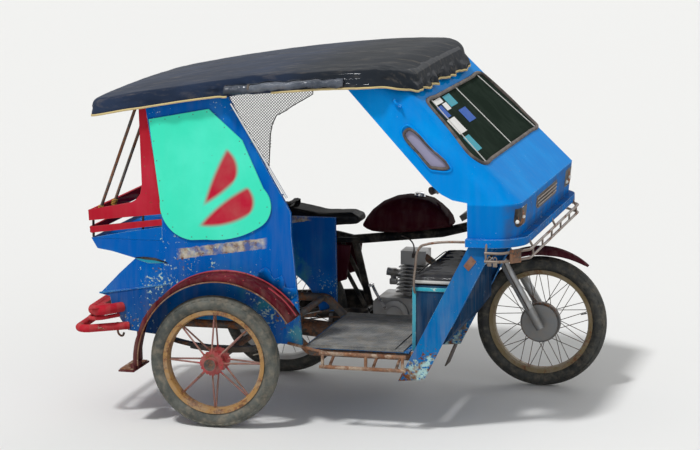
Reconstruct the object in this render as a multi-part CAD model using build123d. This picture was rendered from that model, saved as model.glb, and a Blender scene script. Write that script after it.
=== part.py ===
from build123d import *
import math
import os

# Motorcycle tricycle taxi: a small motorcycle with a roofed passenger sidecar on its right.
# Millimetres. X runs forward from the rear axle line, Y runs left from the sidecar wheel's
# middle plane, and Z runs up from the ground. The finished pieces are moved so that the
# origin is on the ground, under the middle of the whole vehicle.
MIDDLE_X = 440
MIDDLE_Y = 764

# Wheels and track
WHEELBASE = 1235
TRACK = 1150
SIDE_TYRE_R = 291.5
SIDE_TYRE_H = 62.5
SIDE_RIM_R = SIDE_TYRE_R - SIDE_TYRE_H
BIKE_TYRE_R = 305
BIKE_TYRE_H = 62
BIKE_RIM_R = BIKE_TYRE_R - BIKE_TYRE_H
TYRE_W = 78
RIM_W = 62
AXLE_D = 30
BORE_GAP = 1

# Bodywork
SIDE_Y = 90
BODY_W = 778
CAB_W = 1480
WALL = 18
SHEET = 12
FLOOR_Z = 349
RAIL_D = 38

# Nose: a raked front over the whole width
NOSE_FOOT_X = 1300
NOSE_FOOT_Z = 862
CREASE_X = 1315
CREASE_Z = 1012
NOSE_TOP_X = 753
NOSE_TOP_Z = 1545
NOSE_CORNER_R = 115
NOSE_SKIN = 14

# Roof: a shallow crowned deck that falls towards the rear
ROOF_REAR_X = -590
ROOF_FRONT_X = 845
ROOF_OVERHANG = 45
ROOF_ARC_R = 8000
ROOF_ARC_X = 1077
ROOF_ARC_TOP_Z = 1582
ROOF_CROWN = 38
ROOF_SKIN = 15
VALANCE = 67

# Steering
RAKE = 30
FORK_OFFSET = 45
FORK_HALF = 98
FORK_LEG_D = 42
FORK_TUBE_D = 31
STEM_D = 30
HEAD_D = 50
CLAMP_LOW = 430
CLAMP_HIGH = 600

LEFT_Y = SIDE_Y + BODY_W
CAB_LEFT_Y = SIDE_Y + CAB_W
BIKE_Y = TRACK


def block(x0, x1, y0, y1, z0, z1):
    """A box between two corners."""
    return Pos((x0 + x1) / 2, (y0 + y1) / 2, (z0 + z1) / 2) * Box(x1 - x0, y1 - y0, z1 - z0)


def rod(start, end, diameter):
    """A round bar between two points."""
    a = Vector(*start)
    b = Vector(*end)
    return Solid.make_cylinder(diameter / 2, (b - a).length, Plane(origin=a, z_dir=b - a))


def bent_tube(points, diameter, bend):
    """A round bar along straight runs joined by tangent arcs."""
    path = FilletPolyline(*points, radius=bend)
    ring = Plane(origin=path @ 0, z_dir=path % 0) * Circle(diameter / 2)
    return sweep(ring, path=path)


def side_plate(points, y0, y1):
    """A plate cut to an outline in X and Z, between two Y planes."""
    outline = Polyline(*[(x, y0, z) for x, z in points], close=True)
    return extrude(make_face(outline), amount=y1 - y0, dir=(0, 1, 0))


def grown(points, margin):
    """A convex outline with each of its edges moved outwards by a margin."""
    middle_a = sum(a for a, b in points) / len(points)
    middle_b = sum(b for a, b in points) / len(points)
    edges = []
    for (a0, b0), (a1, b1) in zip(points, [*points[1:], points[0]]):
        length = math.hypot(a1 - a0, b1 - b0)
        na = (b1 - b0) / length
        nb = (a0 - a1) / length
        if (a0 - middle_a) * na + (b0 - middle_b) * nb < 0:
            na = -na
            nb = -nb
        edges.append((na, nb, na * a0 + nb * b0 + margin))
    corners = []
    for (a, b, c), (d, e, f) in zip([edges[-1], *edges[:-1]], edges):
        scale = a * e - b * d
        corners.append(((c * e - b * f) / scale, (a * f - c * d) / scale))
    return corners


def front_prism(points, x0, x1):
    """A prism along the vehicle, cut to an outline in Y and Z."""
    outline = Polyline(*[(x0, y, z) for y, z in points], close=True)
    return extrude(make_face(outline), amount=x1 - x0, dir=(1, 0, 0))


def turned(profile, centre):
    """A solid turned about a wheel's axle, from a closed wire of (radius, y) points."""
    face = make_face(profile)
    ring = revolve(face, Axis((0, 0, 0), (0, 1, 0)), 360)
    return Pos(*centre) * ring


def ring_profile(points):
    """A closed straight-sided profile given as (radius, y) pairs."""
    return [Polyline(*[(r, y, 0) for r, y in points], close=True)]


def disc(centre, y0, y1, radius, bore=0):
    """A round plate across the wheel's axle, with or without a bore."""
    x, y, z = centre
    plate = rod((x, y + y0, z), (x, y + y1, z), 2 * radius)
    if bore:
        plate -= rod((x, y + y0 - 1, z), (x, y + y1 + 1, z), 2 * bore)
    return plate


def sector(centre, r0, r1, a0, a1, y0, y1):
    """Part of a flat ring about an axle, between two angles from +X towards +Z."""
    cx, cz = centre

    def at(r, a):
        return (cx + r * math.cos(math.radians(a)), y0, cz + r * math.sin(math.radians(a)))

    mid = (a0 + a1) / 2
    outer = ThreePointArc(at(r1, a0), at(r1, mid), at(r1, a1))
    inner = ThreePointArc(at(r0, a1), at(r0, mid), at(r0, a0))
    edges = [outer, Line(at(r1, a1), at(r0, a1)), inner, Line(at(r0, a0), at(r1, a0))]
    return extrude(make_face(edges), amount=y1 - y0, dir=(0, 1, 0))


# Wheels

def tyre(centre, outer_r, rim_r):
    """A round-shouldered tyre seated between the rim's flanges."""
    half = TYRE_W / 2
    bead = RIM_W / 2 - 6
    belly_r = rim_r + 0.4 * (outer_r - rim_r)
    shoulder_r = outer_r - 14
    edges = [
        Line((rim_r - 13, -bead, 0), (rim_r, -bead, 0)),
        ThreePointArc((rim_r, -bead, 0), (belly_r, -half, 0), (shoulder_r, -half + 9, 0)),
        ThreePointArc((shoulder_r, -half + 9, 0), (outer_r, 0, 0), (shoulder_r, half - 9, 0)),
        ThreePointArc((shoulder_r, half - 9, 0), (belly_r, half, 0), (rim_r, bead, 0)),
        Line((rim_r, bead, 0), (rim_r - 13, bead, 0)),
        Line((rim_r - 13, bead, 0), (rim_r - 13, -bead, 0)),
    ]
    return turned(edges, centre)


def rim(centre, rim_r):
    """A pressed steel rim: two flanges and a shallow well."""
    half = RIM_W / 2
    points = [(rim_r, -half), (rim_r, -half + 4), (rim_r - 14, -half + 5), (rim_r - 15, half - 5),
              (rim_r, half - 4), (rim_r, half), (rim_r - 18, half - 2), (rim_r - 24, 12),
              (rim_r - 24, -12), (rim_r - 18, -half + 2)]
    return turned(ring_profile(points), centre)


def spoke(centre, hub_r, hub_y, hub_angle, rim_r, rim_y, rim_angle, diameter):
    """One spoke from a hub flange to the rim's well."""
    x, y, z = centre
    h = math.radians(hub_angle)
    r = math.radians(rim_angle)
    start = (x + hub_r * math.cos(h), y + hub_y, z + hub_r * math.sin(h))
    end = (x + rim_r * math.cos(r), y + rim_y, z + rim_r * math.sin(r))
    return rod(start, end, diameter)


SIDE_HUB = (0, 0, SIDE_TYRE_R)
REAR_HUB = (0, BIKE_Y, BIKE_TYRE_R)
FRONT_HUB = (WHEELBASE, BIKE_Y, BIKE_TYRE_R)
FLANGE_Y = 49
FLANGE_R = 54
FLANGE_T = 6


def sidecar_wheel():
    """Eight rod spokes to each flange of a toothed hub, as a cut-down sprocket."""
    teeth = 20
    barrel = disc(SIDE_HUB, -FLANGE_Y, FLANGE_Y, 30)
    hub = barrel
    for side in (-1, 1):
        flange = disc(SIDE_HUB, side * FLANGE_Y - FLANGE_T / 2, side * FLANGE_Y + FLANGE_T / 2, FLANGE_R)
        for i in range(teeth):
            a = math.radians(360 / teeth * i)
            x = FLANGE_R * math.cos(a)
            z = SIDE_HUB[2] + FLANGE_R * math.sin(a)
            y0 = side * FLANGE_Y - FLANGE_T
            flange -= rod((x, y0, z), (x, y0 + 2 * FLANGE_T, z), 8)
        hub += flange
    hub -= disc(SIDE_HUB, -62, FLANGE_Y + FLANGE_T, AXLE_D / 2 + BORE_GAP)
    hub += disc(SIDE_HUB, -88, -64, 28)
    hub += disc(SIDE_HUB, -64, -FLANGE_Y, 28, AXLE_D / 2 + BORE_GAP)
    spokes = []
    for i in range(8):
        for side in (-1, 1):
            spokes.append(spoke(SIDE_HUB, 42, side * FLANGE_Y, 45 * i + 2, SIDE_RIM_R - 20, side * 8, 45 * i, 8))
    return hub.fuse(rim(SIDE_HUB, SIDE_RIM_R), *spokes)


def laced_wheel(centre, drum_r, drum_y0, drum_y1, left_r):
    """A drum hub laced to its rim with crossed wire spokes."""
    count = 18
    axle_bore = 7 + BORE_GAP
    left_y = 34
    hub = disc(centre, drum_y0, drum_y1, drum_r) + disc(centre, drum_y0, left_y + 3, 32)
    hub += disc(centre, left_y - 3, left_y + 3, left_r)
    hub -= disc(centre, drum_y0 - 1, left_y + 4, axle_bore)
    spokes = []
    for i in range(count):
        for flange_r, flange_y, start in ((drum_r - 5, drum_y1 - 3, 0), (left_r - 5, left_y, 10)):
            base = 360 / count * i + start
            lean = 24 if i % 2 else -24
            near = flange_y + (2.2 if i % 2 else -2.2)
            spokes.append(spoke(centre, flange_r, near, base, BIKE_RIM_R - 20, 0, base + lean, 3.4))
    return hub.fuse(rim(centre, BIKE_RIM_R), *spokes)


# Sidecar chassis and running gear

KICK_Z = 430
RAIL_Z = FLOOR_Z - RAIL_D / 2
RAIL_Y = (SIDE_Y + WALL + 20, LEFT_Y - WALL - 20)
RAIL_FRONT_X = 938


def sidecar_chassis():
    """Two kicked-up rails, cross tubes, and the three arms that hold the motorcycle."""
    tubes = []
    for y in RAIL_Y:
        route = [(-400, y, KICK_Z), (290, y, KICK_Z), (390, y, RAIL_Z), (RAIL_FRONT_X, y, RAIL_Z)]
        tubes.append(bent_tube(route, RAIL_D, 45))
    for x, z in ((-380, KICK_Z), (-60, KICK_Z), (270, KICK_Z), (430, RAIL_Z), (640, RAIL_Z), (900, RAIL_Z)):
        tubes.append(rod((x, RAIL_Y[0], z), (x, RAIL_Y[1], z), 30))
    left = RAIL_Y[1]
    for start, end in (((860, left, RAIL_Z), (795, BIKE_Y - 14, 345)),
                       ((395, left, RAIL_Z + 5), (438, BIKE_Y - 12, 238)),
                       ((-200, left, KICK_Z), (-60, BIKE_Y - 95, 690))):
        tubes.append(rod(start, end, 30))
    return tubes[0].fuse(*tubes[1:])


def dead_axle():
    """The fixed axle under both leaf springs, out to the sidecar wheel."""
    x, y, z = SIDE_HUB
    return rod((x, -60, z), (x, RAIL_Y[1] + 30, z), AXLE_D)


LEAF_HALF = 330
LEAF_W = 34


def leaf_springs():
    """A three-leaf pack under each rail, clamped to the axle, with a shackle at each end."""
    low = SIDE_TYRE_R + AXLE_D / 2
    high = KICK_Z - RAIL_D / 2
    pieces = []
    for y in RAIL_Y:
        for i, (half, drop) in enumerate(((LEAF_HALF, 0), (0.72 * LEAF_HALF, 1), (0.45 * LEAF_HALF, 2))):
            rise = (high - 30 - low - 16) * (half / LEAF_HALF) ** 2
            z = low + 16 - 8 * drop
            top = ThreePointArc((-half, y - LEAF_W / 2, z + 8 + rise), (0, y - LEAF_W / 2, z + 8), (half, y - LEAF_W / 2, z + 8 + rise))
            bottom = ThreePointArc((half, y - LEAF_W / 2, z + rise), (0, y - LEAF_W / 2, z), (-half, y - LEAF_W / 2, z + rise))
            ends = [Line(top @ 1, bottom @ 0), Line(bottom @ 1, top @ 0)]
            pieces.append(extrude(make_face([top, bottom, *ends]), amount=LEAF_W, dir=(0, 1, 0)))
        for end in (-1, 1):
            x = end * (LEAF_HALF - 12)
            pieces.append(block(x - 14, x + 14, y - LEAF_W / 2, y + LEAF_W / 2, high - 34, high + 6))
        pieces.append(block(-26, 26, y - LEAF_W / 2 - 2, y + LEAF_W / 2 + 2, low - 2, low + 26))
    return pieces[0].fuse(*pieces[1:])


def floor_pan():
    """Sheet floor on the low rails."""
    return block(372, 842, SIDE_Y + 4, LEFT_Y - 4, FLOOR_Z, FLOOR_Z + 6)


def floor_mat():
    """Two rubber mats that hang a little over the sill."""
    lower = block(384, 820, SIDE_Y - 8, LEFT_Y - 20, FLOOR_Z + 6, FLOOR_Z + 12)
    upper = block(400, 780, SIDE_Y + 4, LEFT_Y - 60, FLOOR_Z + 12, FLOOR_Z + 18)
    return lower + upper


STEP_Y = 30
STEP_REAR_X = 460
STEP_FRONT_X = 842
STEP_TOP_Z = 345
STEP_LOW_Z = 285
STEP_D = 17


def step_frame():
    """A welded step ladder outside the floor's edge, on stubs from the near rail."""
    x0 = STEP_REAR_X
    x1 = STEP_FRONT_X
    middle = 666
    bars = []
    for z in (STEP_TOP_Z, STEP_LOW_Z):
        bars.append(rod((x0, STEP_Y, z), (x1, STEP_Y, z), STEP_D))
    for x in (x0 + 14, middle, x1 - 14):
        bars.append(rod((x, STEP_Y, STEP_LOW_Z), (x, STEP_Y, STEP_TOP_Z), STEP_D - 3))
    for x in (x0 + 44, middle + 30, x1 - 44):
        bars.append(rod((x, STEP_Y, STEP_LOW_Z), (x, RAIL_Y[0] - RAIL_D / 2 - 2, RAIL_Z - 12), STEP_D - 4))
    bars.append(rod((306, SIDE_Y - 9, RAIL_Z + 40), (x0 + 40, STEP_Y, STEP_TOP_Z), STEP_D - 4))
    return bars[0].fuse(*bars[1:])


# Sidecar body

PANEL_TOP_Z = ROOF_ARC_TOP_Z - 92
PILLAR_TOP_Z = ROOF_ARC_TOP_Z - 152
PANEL_FRONT = [(367, 363), (319, 846), (317, 940), (296, 982), (217, 1117), (11, PANEL_TOP_Z)]
TAIL_TOP_Z = 797
TAIL = [(-592, TAIL_TOP_Z), (-564, 751), (-497, 741), (-389, 714), (-462, 646), (-556, 549),
        (-510, 539), (-501, 494), (-428, 390)]
ARCH_CUT_R = 255
PILLAR_LOW = (-266, 955)
PILLAR_TOP = (-343, PILLAR_TOP_Z)


def side_outline(top):
    """The body side's outline: front edge, top, and the stepped tail."""
    return [*top, *TAIL, (-300, 378), (300, 363)]


def arch_cut(y0, y1):
    """The clearance hole behind the sidecar wheel."""
    return disc((0, y0, SIDE_TYRE_R + 15), 0, y1 - y0, ARCH_CUT_R)


def side_panel_right():
    """The passenger side: from the floor to the roof, open ahead of its slanted front edge."""
    top = [*PANEL_FRONT, PILLAR_TOP, PILLAR_LOW, (-265, TAIL_TOP_Z)]
    plate = side_plate(side_outline(top), SIDE_Y, SIDE_Y + WALL)
    return plate - arch_cut(SIDE_Y - 1, SIDE_Y + WALL + 1)


def side_panel_left():
    """The low wall beside the motorcycle, with the same tail."""
    top = [(330, 363), (322, 800), (-265, TAIL_TOP_Z)]
    plate = side_plate(side_outline(top), LEFT_Y - WALL, LEFT_Y)
    return plate - arch_cut(LEFT_Y - WALL - 1, LEFT_Y + 1)


def accent_panel():
    """The raised painted panel nailed on the passenger side."""
    def at(x, z):
        return (x, SIDE_Y - 7, z)

    top = ROOF_ARC_TOP_Z - 198
    edges = [
        Line(at(-319, top - 53), at(-47, top)),
        Line(at(-47, top), at(104, top - 132)),
        Line(at(104, top - 132), at(198, 1044)),
        ThreePointArc(at(198, 1044), at(231, 965), at(190, 882)),
        ThreePointArc(at(190, 882), at(80, 828), at(-60, 811)),
        Line(at(-60, 811), at(-128, 806)),
        ThreePointArc(at(-128, 806), at(-226, 850), at(-272, 975)),
        Line(at(-272, 975), at(-319, top - 53)),
    ]
    return extrude(make_face(edges), amount=7, dir=(0, 1, 0))


def wall_x(z):
    """The front face of the leaning rear wall at one height."""
    lean = (PILLAR_TOP[0] - PILLAR_LOW[0]) / (PILLAR_TOP[1] - PILLAR_LOW[1])
    return PILLAR_LOW[0] + lean * (z - PILLAR_LOW[1]) + 16


def rear_wall():
    """The leaning wall behind the passengers, with its window."""
    low = TAIL_TOP_Z
    top = PILLAR_TOP[1] - 10
    points = [(wall_x(low) - 16, low), (wall_x(top) - 16, top), (wall_x(top), top), (wall_x(low), low)]
    wall = side_plate(points, SIDE_Y + WALL, LEFT_Y - WALL)
    window = block(-400, -200, SIDE_Y + 130, LEFT_Y - 130, 1060, top - 130)
    return wall - window


def tail_body():
    """The hollow stepped trunk behind the bench, open at its front."""
    floor = KICK_Z + RAIL_D / 2 + 3
    outer = [(-262, TAIL_TOP_Z), *TAIL[:-1], (-472, floor), (-262, floor)]
    y0 = SIDE_Y + WALL
    y1 = LEFT_Y - WALL
    shell = side_plate(outer, y0, y1)
    core = make_face(Polyline(*[(x, y0, z) for x, z in outer], close=True))
    hollow = offset(core, amount=-SHEET, kind=Kind.INTERSECTION)
    return shell - extrude(hollow, amount=y1 - y0, dir=(0, 1, 0))


BOARD_REAR_X = -606


def luggage_boards():
    """Painted boards: the two corner pillars and the two-tier rail round the luggage deck."""
    x0 = BOARD_REAR_X
    pillar = [PILLAR_TOP, (-368, PILLAR_TOP_Z), (-354, 1040), (-362, 985), (-392, 940), (-440, 922),
              (x0, 920), (x0, 874), (-266, 880), PILLAR_LOW]
    pieces = []
    for y0 in (SIDE_Y, LEFT_Y - WALL):
        y1 = y0 + WALL
        pieces.append(side_plate(pillar, y0, y1))
        pieces.append(block(x0, -266, y0, y1, 813, 842))
        for x in (x0, -450, -292):
            pieces.append(block(x, x + 26, y0, y1, TAIL_TOP_Z, 876))
    for z0, z1 in ((874, 920), (813, 842)):
        pieces.append(block(x0, x0 + 16, SIDE_Y, LEFT_Y, z0, z1))
    return pieces[0].fuse(*pieces[1:])


def rear_bumper():
    """Three tiers of bent pipe round the tail, joined by short uprights."""
    mid_y = (SIDE_Y + LEFT_Y) / 2
    pieces = []
    for x_in, reach, z, diameter, out in ((-455, -572, 484, 45, 135), (-470, -588, 447, 18, 138),
                                          (-425, -636, 402, 35, 100)):
        half = BODY_W / 2 + out
        inner = BODY_W / 2 - 6
        route = [(x_in, mid_y - inner, z + 8), (reach, mid_y - half, z), (reach - 14, mid_y - 200, z),
                 (reach - 14, mid_y + 200, z), (reach, mid_y + half, z), (x_in, mid_y + inner, z + 8)]
        pieces.append(bent_tube(route, diameter, 42))
    for y in (mid_y - 260, mid_y + 260):
        pieces.append(rod((-588, y, 484), (-596, y, 447), 16))
        pieces.append(rod((-596, y, 450), (-646, y, 402), 16))
        pieces.append(rod((-500, y, 505), (-586, y, 484), 24))
    return pieces[0].fuse(*pieces[1:])


ARCH_X = 30
ARCH_Z = 283
ARCH_R = 405


def wheel_arch():
    """The bent strip over the sidecar wheel, with its rolled edge, foot plate and hanger."""
    centre = (ARCH_X, ARCH_Z)
    strip = sector(centre, ARCH_R - 5, ARCH_R, 30, 184, -52, SIDE_Y)
    edge = sector(centre, ARCH_R - 22, ARCH_R, 30, 184, -56, -52)
    foot = block(-422, -350, -68, 150, 236, 244)
    hanger = block(-398, -386, 122, 134, 240, KICK_Z - 10)
    riser = block(-376, -368, -52, 60, 240, 262)
    return strip.fuse(edge, foot, hanger, riser)


# Benches and handholds

BENCH_Y = (SIDE_Y + WALL + 2, LEFT_Y - WALL - 2)


def main_bench_base():
    """The plywood box under the passengers' bench, open at its back."""
    y0, y1 = BENCH_Y
    box = block(-262, 118, y0, y1, KICK_Z + 21, 590)
    return box - block(-263, 106, y0 + SHEET, y1 - SHEET, KICK_Z + 33, 578)


def main_bench_cushion():
    """The seat cushion of the forward-facing bench."""
    y0, y1 = BENCH_Y
    return block(-236, 132, y0, y1, 590, 668)


def main_bench_back():
    """The backrest cushion against the leaning wall."""
    y0, y1 = BENCH_Y
    low, top = 670, 1035
    points = [(wall_x(TAIL_TOP_Z), low), (wall_x(TAIL_TOP_Z), TAIL_TOP_Z), (wall_x(top), top),
              (wall_x(top) + 50, top), (wall_x(TAIL_TOP_Z) + 56, low)]
    return side_plate(points, y0 + 20, y1 - 20)


FRONT_BENCH_Y = (SIDE_Y + 45, LEFT_Y - 48)


def front_bench_base():
    """The box under the rear-facing bench at the front, hollow and open underneath."""
    y0, y1 = FRONT_BENCH_Y
    outer = [(850, 356), (936, 356), (1000, 400), (1060, 480), (1060, 640), (850, 640)]
    inner = [(862, 340), (930, 340), (992, 410), (1048, 486), (1048, 628), (862, 628)]
    return side_plate(outer, y0, y1) - side_plate(inner, y0 + SHEET, y1 - SHEET)


def front_bench_cushion():
    """The seat cushion of the rear-facing bench."""
    y0, y1 = FRONT_BENCH_Y
    return block(843, 1078, y0 - 4, y1 + 4, 640, 684)


def handholds():
    """The bright grab rail along the side's front edge and the arm rail by the front bench."""
    y = SIDE_Y - 18
    rail = rod((57, y, 1412), (306, y, 1009), 20)
    for x, z in ((70, 1391), (155, 1253), (294, 1028)):
        rail += rod((x, y, z), (x - 18, SIDE_Y, z - 12), 11)
    arm_y = SIDE_Y + 24
    arm = bent_tube([(860, arm_y + 26, 600), (858, arm_y, 632), (864, arm_y, 720), (884, arm_y, 822),
                     (1073, arm_y, 842), (1104, arm_y - 16, 842)], 22, 16)
    return rail + arm


# Roof

def roof_face(crown, drop):
    """The roof's cross-section at its highest point, down to well below the deck."""
    y0 = SIDE_Y - ROOF_OVERHANG - 40
    y1 = CAB_LEFT_Y + ROOF_OVERHANG + 40
    top = ROOF_ARC_TOP_Z - drop
    x = ROOF_ARC_X
    low = top - 400
    if crown:
        lid = ThreePointArc((x, y0, top), (x, (y0 + y1) / 2, top + crown), (x, y1, top))
    else:
        lid = Line((x, y0, top), (x, y1, top))
    return make_face([lid, Line((x, y1, top), (x, y1, low)), Line((x, y1, low), (x, y0, low)),
                      Line((x, y0, low), (x, y0, top))])


def roof_body(crown, drop):
    """The solid under the roof's long lengthwise arc, lowered by a given drop."""
    axle = Axis((ROOF_ARC_X, 0, ROOF_ARC_TOP_Z - ROOF_ARC_R), (0, 1, 0))
    return revolve(roof_face(crown, drop).rotate(axle, 4), axle, -20)


def roof_plan(inset):
    """The roof's plan outline, with large front corners."""
    x0 = ROOF_REAR_X + inset
    x1 = ROOF_FRONT_X - inset
    y0 = SIDE_Y - ROOF_OVERHANG + inset
    y1 = CAB_LEFT_Y + ROOF_OVERHANG - inset
    z = 1000
    corner = 220 - inset
    tail = 90 - inset
    plan = [
        Line((x0, y1 - tail, z), (x0, y0 + tail, z)),
        RadiusArc((x0, y0 + tail, z), (x0 + tail, y0, z), -tail),
        Line((x0 + tail, y0, z), (x1 - corner, y0, z)),
        RadiusArc((x1 - corner, y0, z), (x1, y0 + corner, z), -corner),
        Line((x1, y0 + corner, z), (x1, y1 - corner, z)),
        RadiusArc((x1, y1 - corner, z), (x1 - corner, y1, z), -corner),
        Line((x1 - corner, y1, z), (x0 + tail, y1, z)),
        RadiusArc((x0 + tail, y1, z), (x0, y1 - tail, z), -tail),
    ]
    return extrude(make_face(plan), amount=800, dir=(0, 0, 1))


def roof_canopy():
    """The vinyl-covered crowned roof with its hanging valance, hollow beneath."""
    outer = roof_plan(0) & roof_body(ROOF_CROWN, 0)
    inner = roof_plan(ROOF_SKIN) & roof_body(ROOF_CROWN, ROOF_SKIN)
    return outer - inner - roof_body(0, VALANCE)


def roof_trim():
    """The pale tape along the valance's lower edge."""
    band = (roof_plan(-4) - roof_plan(0)) & (roof_body(0, VALANCE - 12) - roof_body(0, VALANCE))
    return band


def roof_z(x):
    """The height of the valance's top edge at a place along the roof."""
    return ROOF_ARC_TOP_Z - ROOF_ARC_R + math.sqrt(ROOF_ARC_R ** 2 - (x - ROOF_ARC_X) ** 2)


FRAME_D = 25
FRAME_DROP = 20
STAY_TOP_X = -382


def roof_frame():
    """Tubes under the roof, the inner rear post and its braces, and the rear stays."""
    def under(x):
        return roof_z(x) - FRAME_DROP

    tubes = []
    ends = (SIDE_Y + 32, CAB_LEFT_Y - 32)
    stations = (ROOF_REAR_X + 60, STAY_TOP_X, 40, 440, ROOF_FRONT_X - 180)
    for y in ends:
        tubes.append(bent_tube([(x, y, under(x)) for x in stations], FRAME_D, 60))
    post_x = -300
    for x in (*stations, post_x):
        tubes.append(rod((x, ends[0], under(x)), (x, ends[1], under(x)), FRAME_D - 3))
    post_y = LEFT_Y + 15
    tubes.append(rod((post_x, post_y, KICK_Z), (post_x, post_y, under(post_x)), FRAME_D))
    tubes.append(rod((post_x, post_y, 1120), (post_x, CAB_LEFT_Y - 70, under(post_x)), FRAME_D - 5))
    for y in (SIDE_Y + 70, SIDE_Y + 260, LEFT_Y - 70):
        tubes.append(rod((-580, y, 893), (STAY_TOP_X, y, under(STAY_TOP_X)), 14))
    return tubes[0].fuse(*tubes[1:])


def rolled_curtain():
    """The rain curtain rolled up under the roof's edge, over the door opening."""
    y = SIDE_Y - ROOF_OVERHANG - 12
    route = [(46, y, roof_z(46) - 42), (300, y, roof_z(300) - 46), (566, y, roof_z(566) - 42)]
    return bent_tube(route, 23, 200)


def mesh_screen():
    """The mesh quarter between the cabin and the driver, hung from the roof."""
    rear = roof_z(-286) - 61
    front = roof_z(216) - 73
    points = [(-286, 1010), (0, 1010), (8, 1170), (75, front - 182), (210, front - 106), (216, front), (-286, rear)]
    return side_plate(points, LEFT_Y + 4, LEFT_Y + 10)


# Nose

def nose_plan(x_front, z, inset):
    """The nose's plan outline at one height, open-ended towards the rear."""
    y0 = SIDE_Y + inset
    y1 = CAB_LEFT_Y - inset
    x1 = x_front - inset
    x0 = 300
    r = NOSE_CORNER_R - inset
    return make_face([
        Line((x0, y1, z), (x0, y0, z)),
        Line((x0, y0, z), (x1 - r, y0, z)),
        RadiusArc((x1 - r, y0, z), (x1, y0 + r, z), -r),
        Line((x1, y0 + r, z), (x1, y1 - r, z)),
        RadiusArc((x1, y1 - r, z), (x1 - r, y1, z), -r),
        Line((x1 - r, y1, z), (x0, y1, z)),
    ])


def slant(x0, z0, x1, z1, inset):
    """A leaning prism of the nose's plan between two heights."""
    run = Vector(x1 - x0, 0, z1 - z0)
    return extrude(nose_plan(x0, z0, inset), amount=run.length, dir=run.normalized())


def nose_upper(inset):
    """The raked part above the crease."""
    return slant(CREASE_X, CREASE_Z, NOSE_TOP_X, NOSE_TOP_Z, inset)


def nose_lower(inset):
    """The tucked-in part below the crease."""
    return slant(NOSE_FOOT_X, NOSE_FOOT_Z, CREASE_X, CREASE_Z, inset)


OPENING = [(568, 1489), (936, 1086), (980, 1048), (1030, 1024), (1093, 1014)]
SCREEN_LOW_Z = 1172
SCREEN_TOP_Z = 1424
SCREEN_LOW_INSET = 42
SCREEN_TOP_INSET = 140
SCREEN_CORNER_R = 48
QUARTER = [(812, 1297), (838, 1335), (1026, 1161), (934, 1161)]
QUARTER_CORNER_R = (22, 22, 9, 34)


def front_x(z):
    """The raked front's X at one height."""
    return CREASE_X + (NOSE_TOP_X - CREASE_X) * (z - CREASE_Z) / (NOSE_TOP_Z - CREASE_Z)


def screen_cut(grow):
    """The windscreen opening, narrower at the top, as a prism through the front, larger by a margin."""
    z0 = SCREEN_LOW_Z
    z1 = SCREEN_TOP_Z
    outline = [(SIDE_Y + SCREEN_LOW_INSET, z0), (CAB_LEFT_Y - SCREEN_LOW_INSET, z0),
               (CAB_LEFT_Y - SCREEN_TOP_INSET, z1), (SIDE_Y + SCREEN_TOP_INSET, z1)]
    prism = front_prism(grown(outline, grow), front_x(z1) - 120, CREASE_X + 60)
    return fillet(prism.edges().filter_by(Axis.X), SCREEN_CORNER_R + grow)


def quarter_cut(grow):
    """The leaf-shaped side window with its pointed lower corner, through both sides."""
    outline = grown(QUARTER, grow)
    prism = side_plate(outline, SIDE_Y - 20, CAB_LEFT_Y + 20)
    for (x, z), radius in zip(outline, QUARTER_CORNER_R):
        near = [e for e in prism.edges().filter_by(Axis.Y)
                if abs(e.center().X - x) < 1 and abs(e.center().Z - z) < 1]
        prism = fillet(near, max(radius + grow, 3))
    return prism


LAMP_Y = (SIDE_Y + 155, CAB_LEFT_Y - 155)
LAMP_Z = 948
LAMP_HALF = 62
LAMP_BACK_X = 1236
GRILLE_HALF = 235


def front_cuts():
    """The two square lamp holes and the grille slot in the lower front."""
    middle = (SIDE_Y + CAB_LEFT_Y) / 2
    x0 = NOSE_FOOT_X - 40
    x1 = CREASE_X + 50
    slot = block(x0, x1, middle - GRILLE_HALF, middle + GRILLE_HALF, LAMP_Z - 28, LAMP_Z + 34)
    cuts = fillet(slot.edges().filter_by(Axis.X), 24)
    for y in LAMP_Y:
        hole = block(x0, x1, y - LAMP_HALF, y + LAMP_HALF, LAMP_Z - 42, LAMP_Z + 42)
        cuts += fillet(hole.edges().filter_by(Axis.X), 18)
    return cuts


def side_region():
    """What the nose keeps, seen from the side: everything ahead of the door opening."""
    points = [*OPENING, (1095, NOSE_FOOT_Z - 5), (1400, NOSE_FOOT_Z - 5), (1400, NOSE_TOP_Z + 20),
              (OPENING[0][0] - 18, NOSE_TOP_Z + 20)]
    return side_plate(points, SIDE_Y - 30, CAB_LEFT_Y + 30)


def nose_shell():
    """The sheet nose: raked windscreen surround, crease and tucked lower front."""
    upper = nose_upper(0) - nose_upper(NOSE_SKIN)
    lower = nose_lower(0) - nose_lower(NOSE_SKIN)
    shell = (upper + lower) & side_region()
    shell = shell - screen_cut(0) - quarter_cut(0) - front_cuts()
    return shell


def window_glass():
    """The wrapped windscreen and the two slanted side panes."""
    band = nose_upper(5) - nose_upper(10)
    panes = band & (screen_cut(-2) + quarter_cut(-2))
    return panes


def window_gaskets():
    """Rubber round each pane, and the bright strips that divide the windscreen."""
    outside = nose_upper(-5) - nose_upper(0)
    rings = (screen_cut(16) - screen_cut(-12)) + (quarter_cut(10) - quarter_cut(-6))
    rubber = outside & rings
    strips = nose_upper(0) - nose_upper(5)
    bars = []
    middle = (SIDE_Y + CAB_LEFT_Y) / 2
    lean = 90
    for y, shift in ((SIDE_Y + 150, lean), (middle, 0), (CAB_LEFT_Y - 150, -lean)):
        outline = [(y - 7, SCREEN_LOW_Z), (y + 7, SCREEN_LOW_Z), (y + shift + 7, SCREEN_TOP_Z),
                   (y + shift - 7, SCREEN_TOP_Z)]
        bars.append(front_prism(outline, front_x(SCREEN_TOP_Z) - 120, CREASE_X + 60))
    dividers = strips & bars[0].fuse(*bars[1:])
    return rubber + dividers


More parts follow.
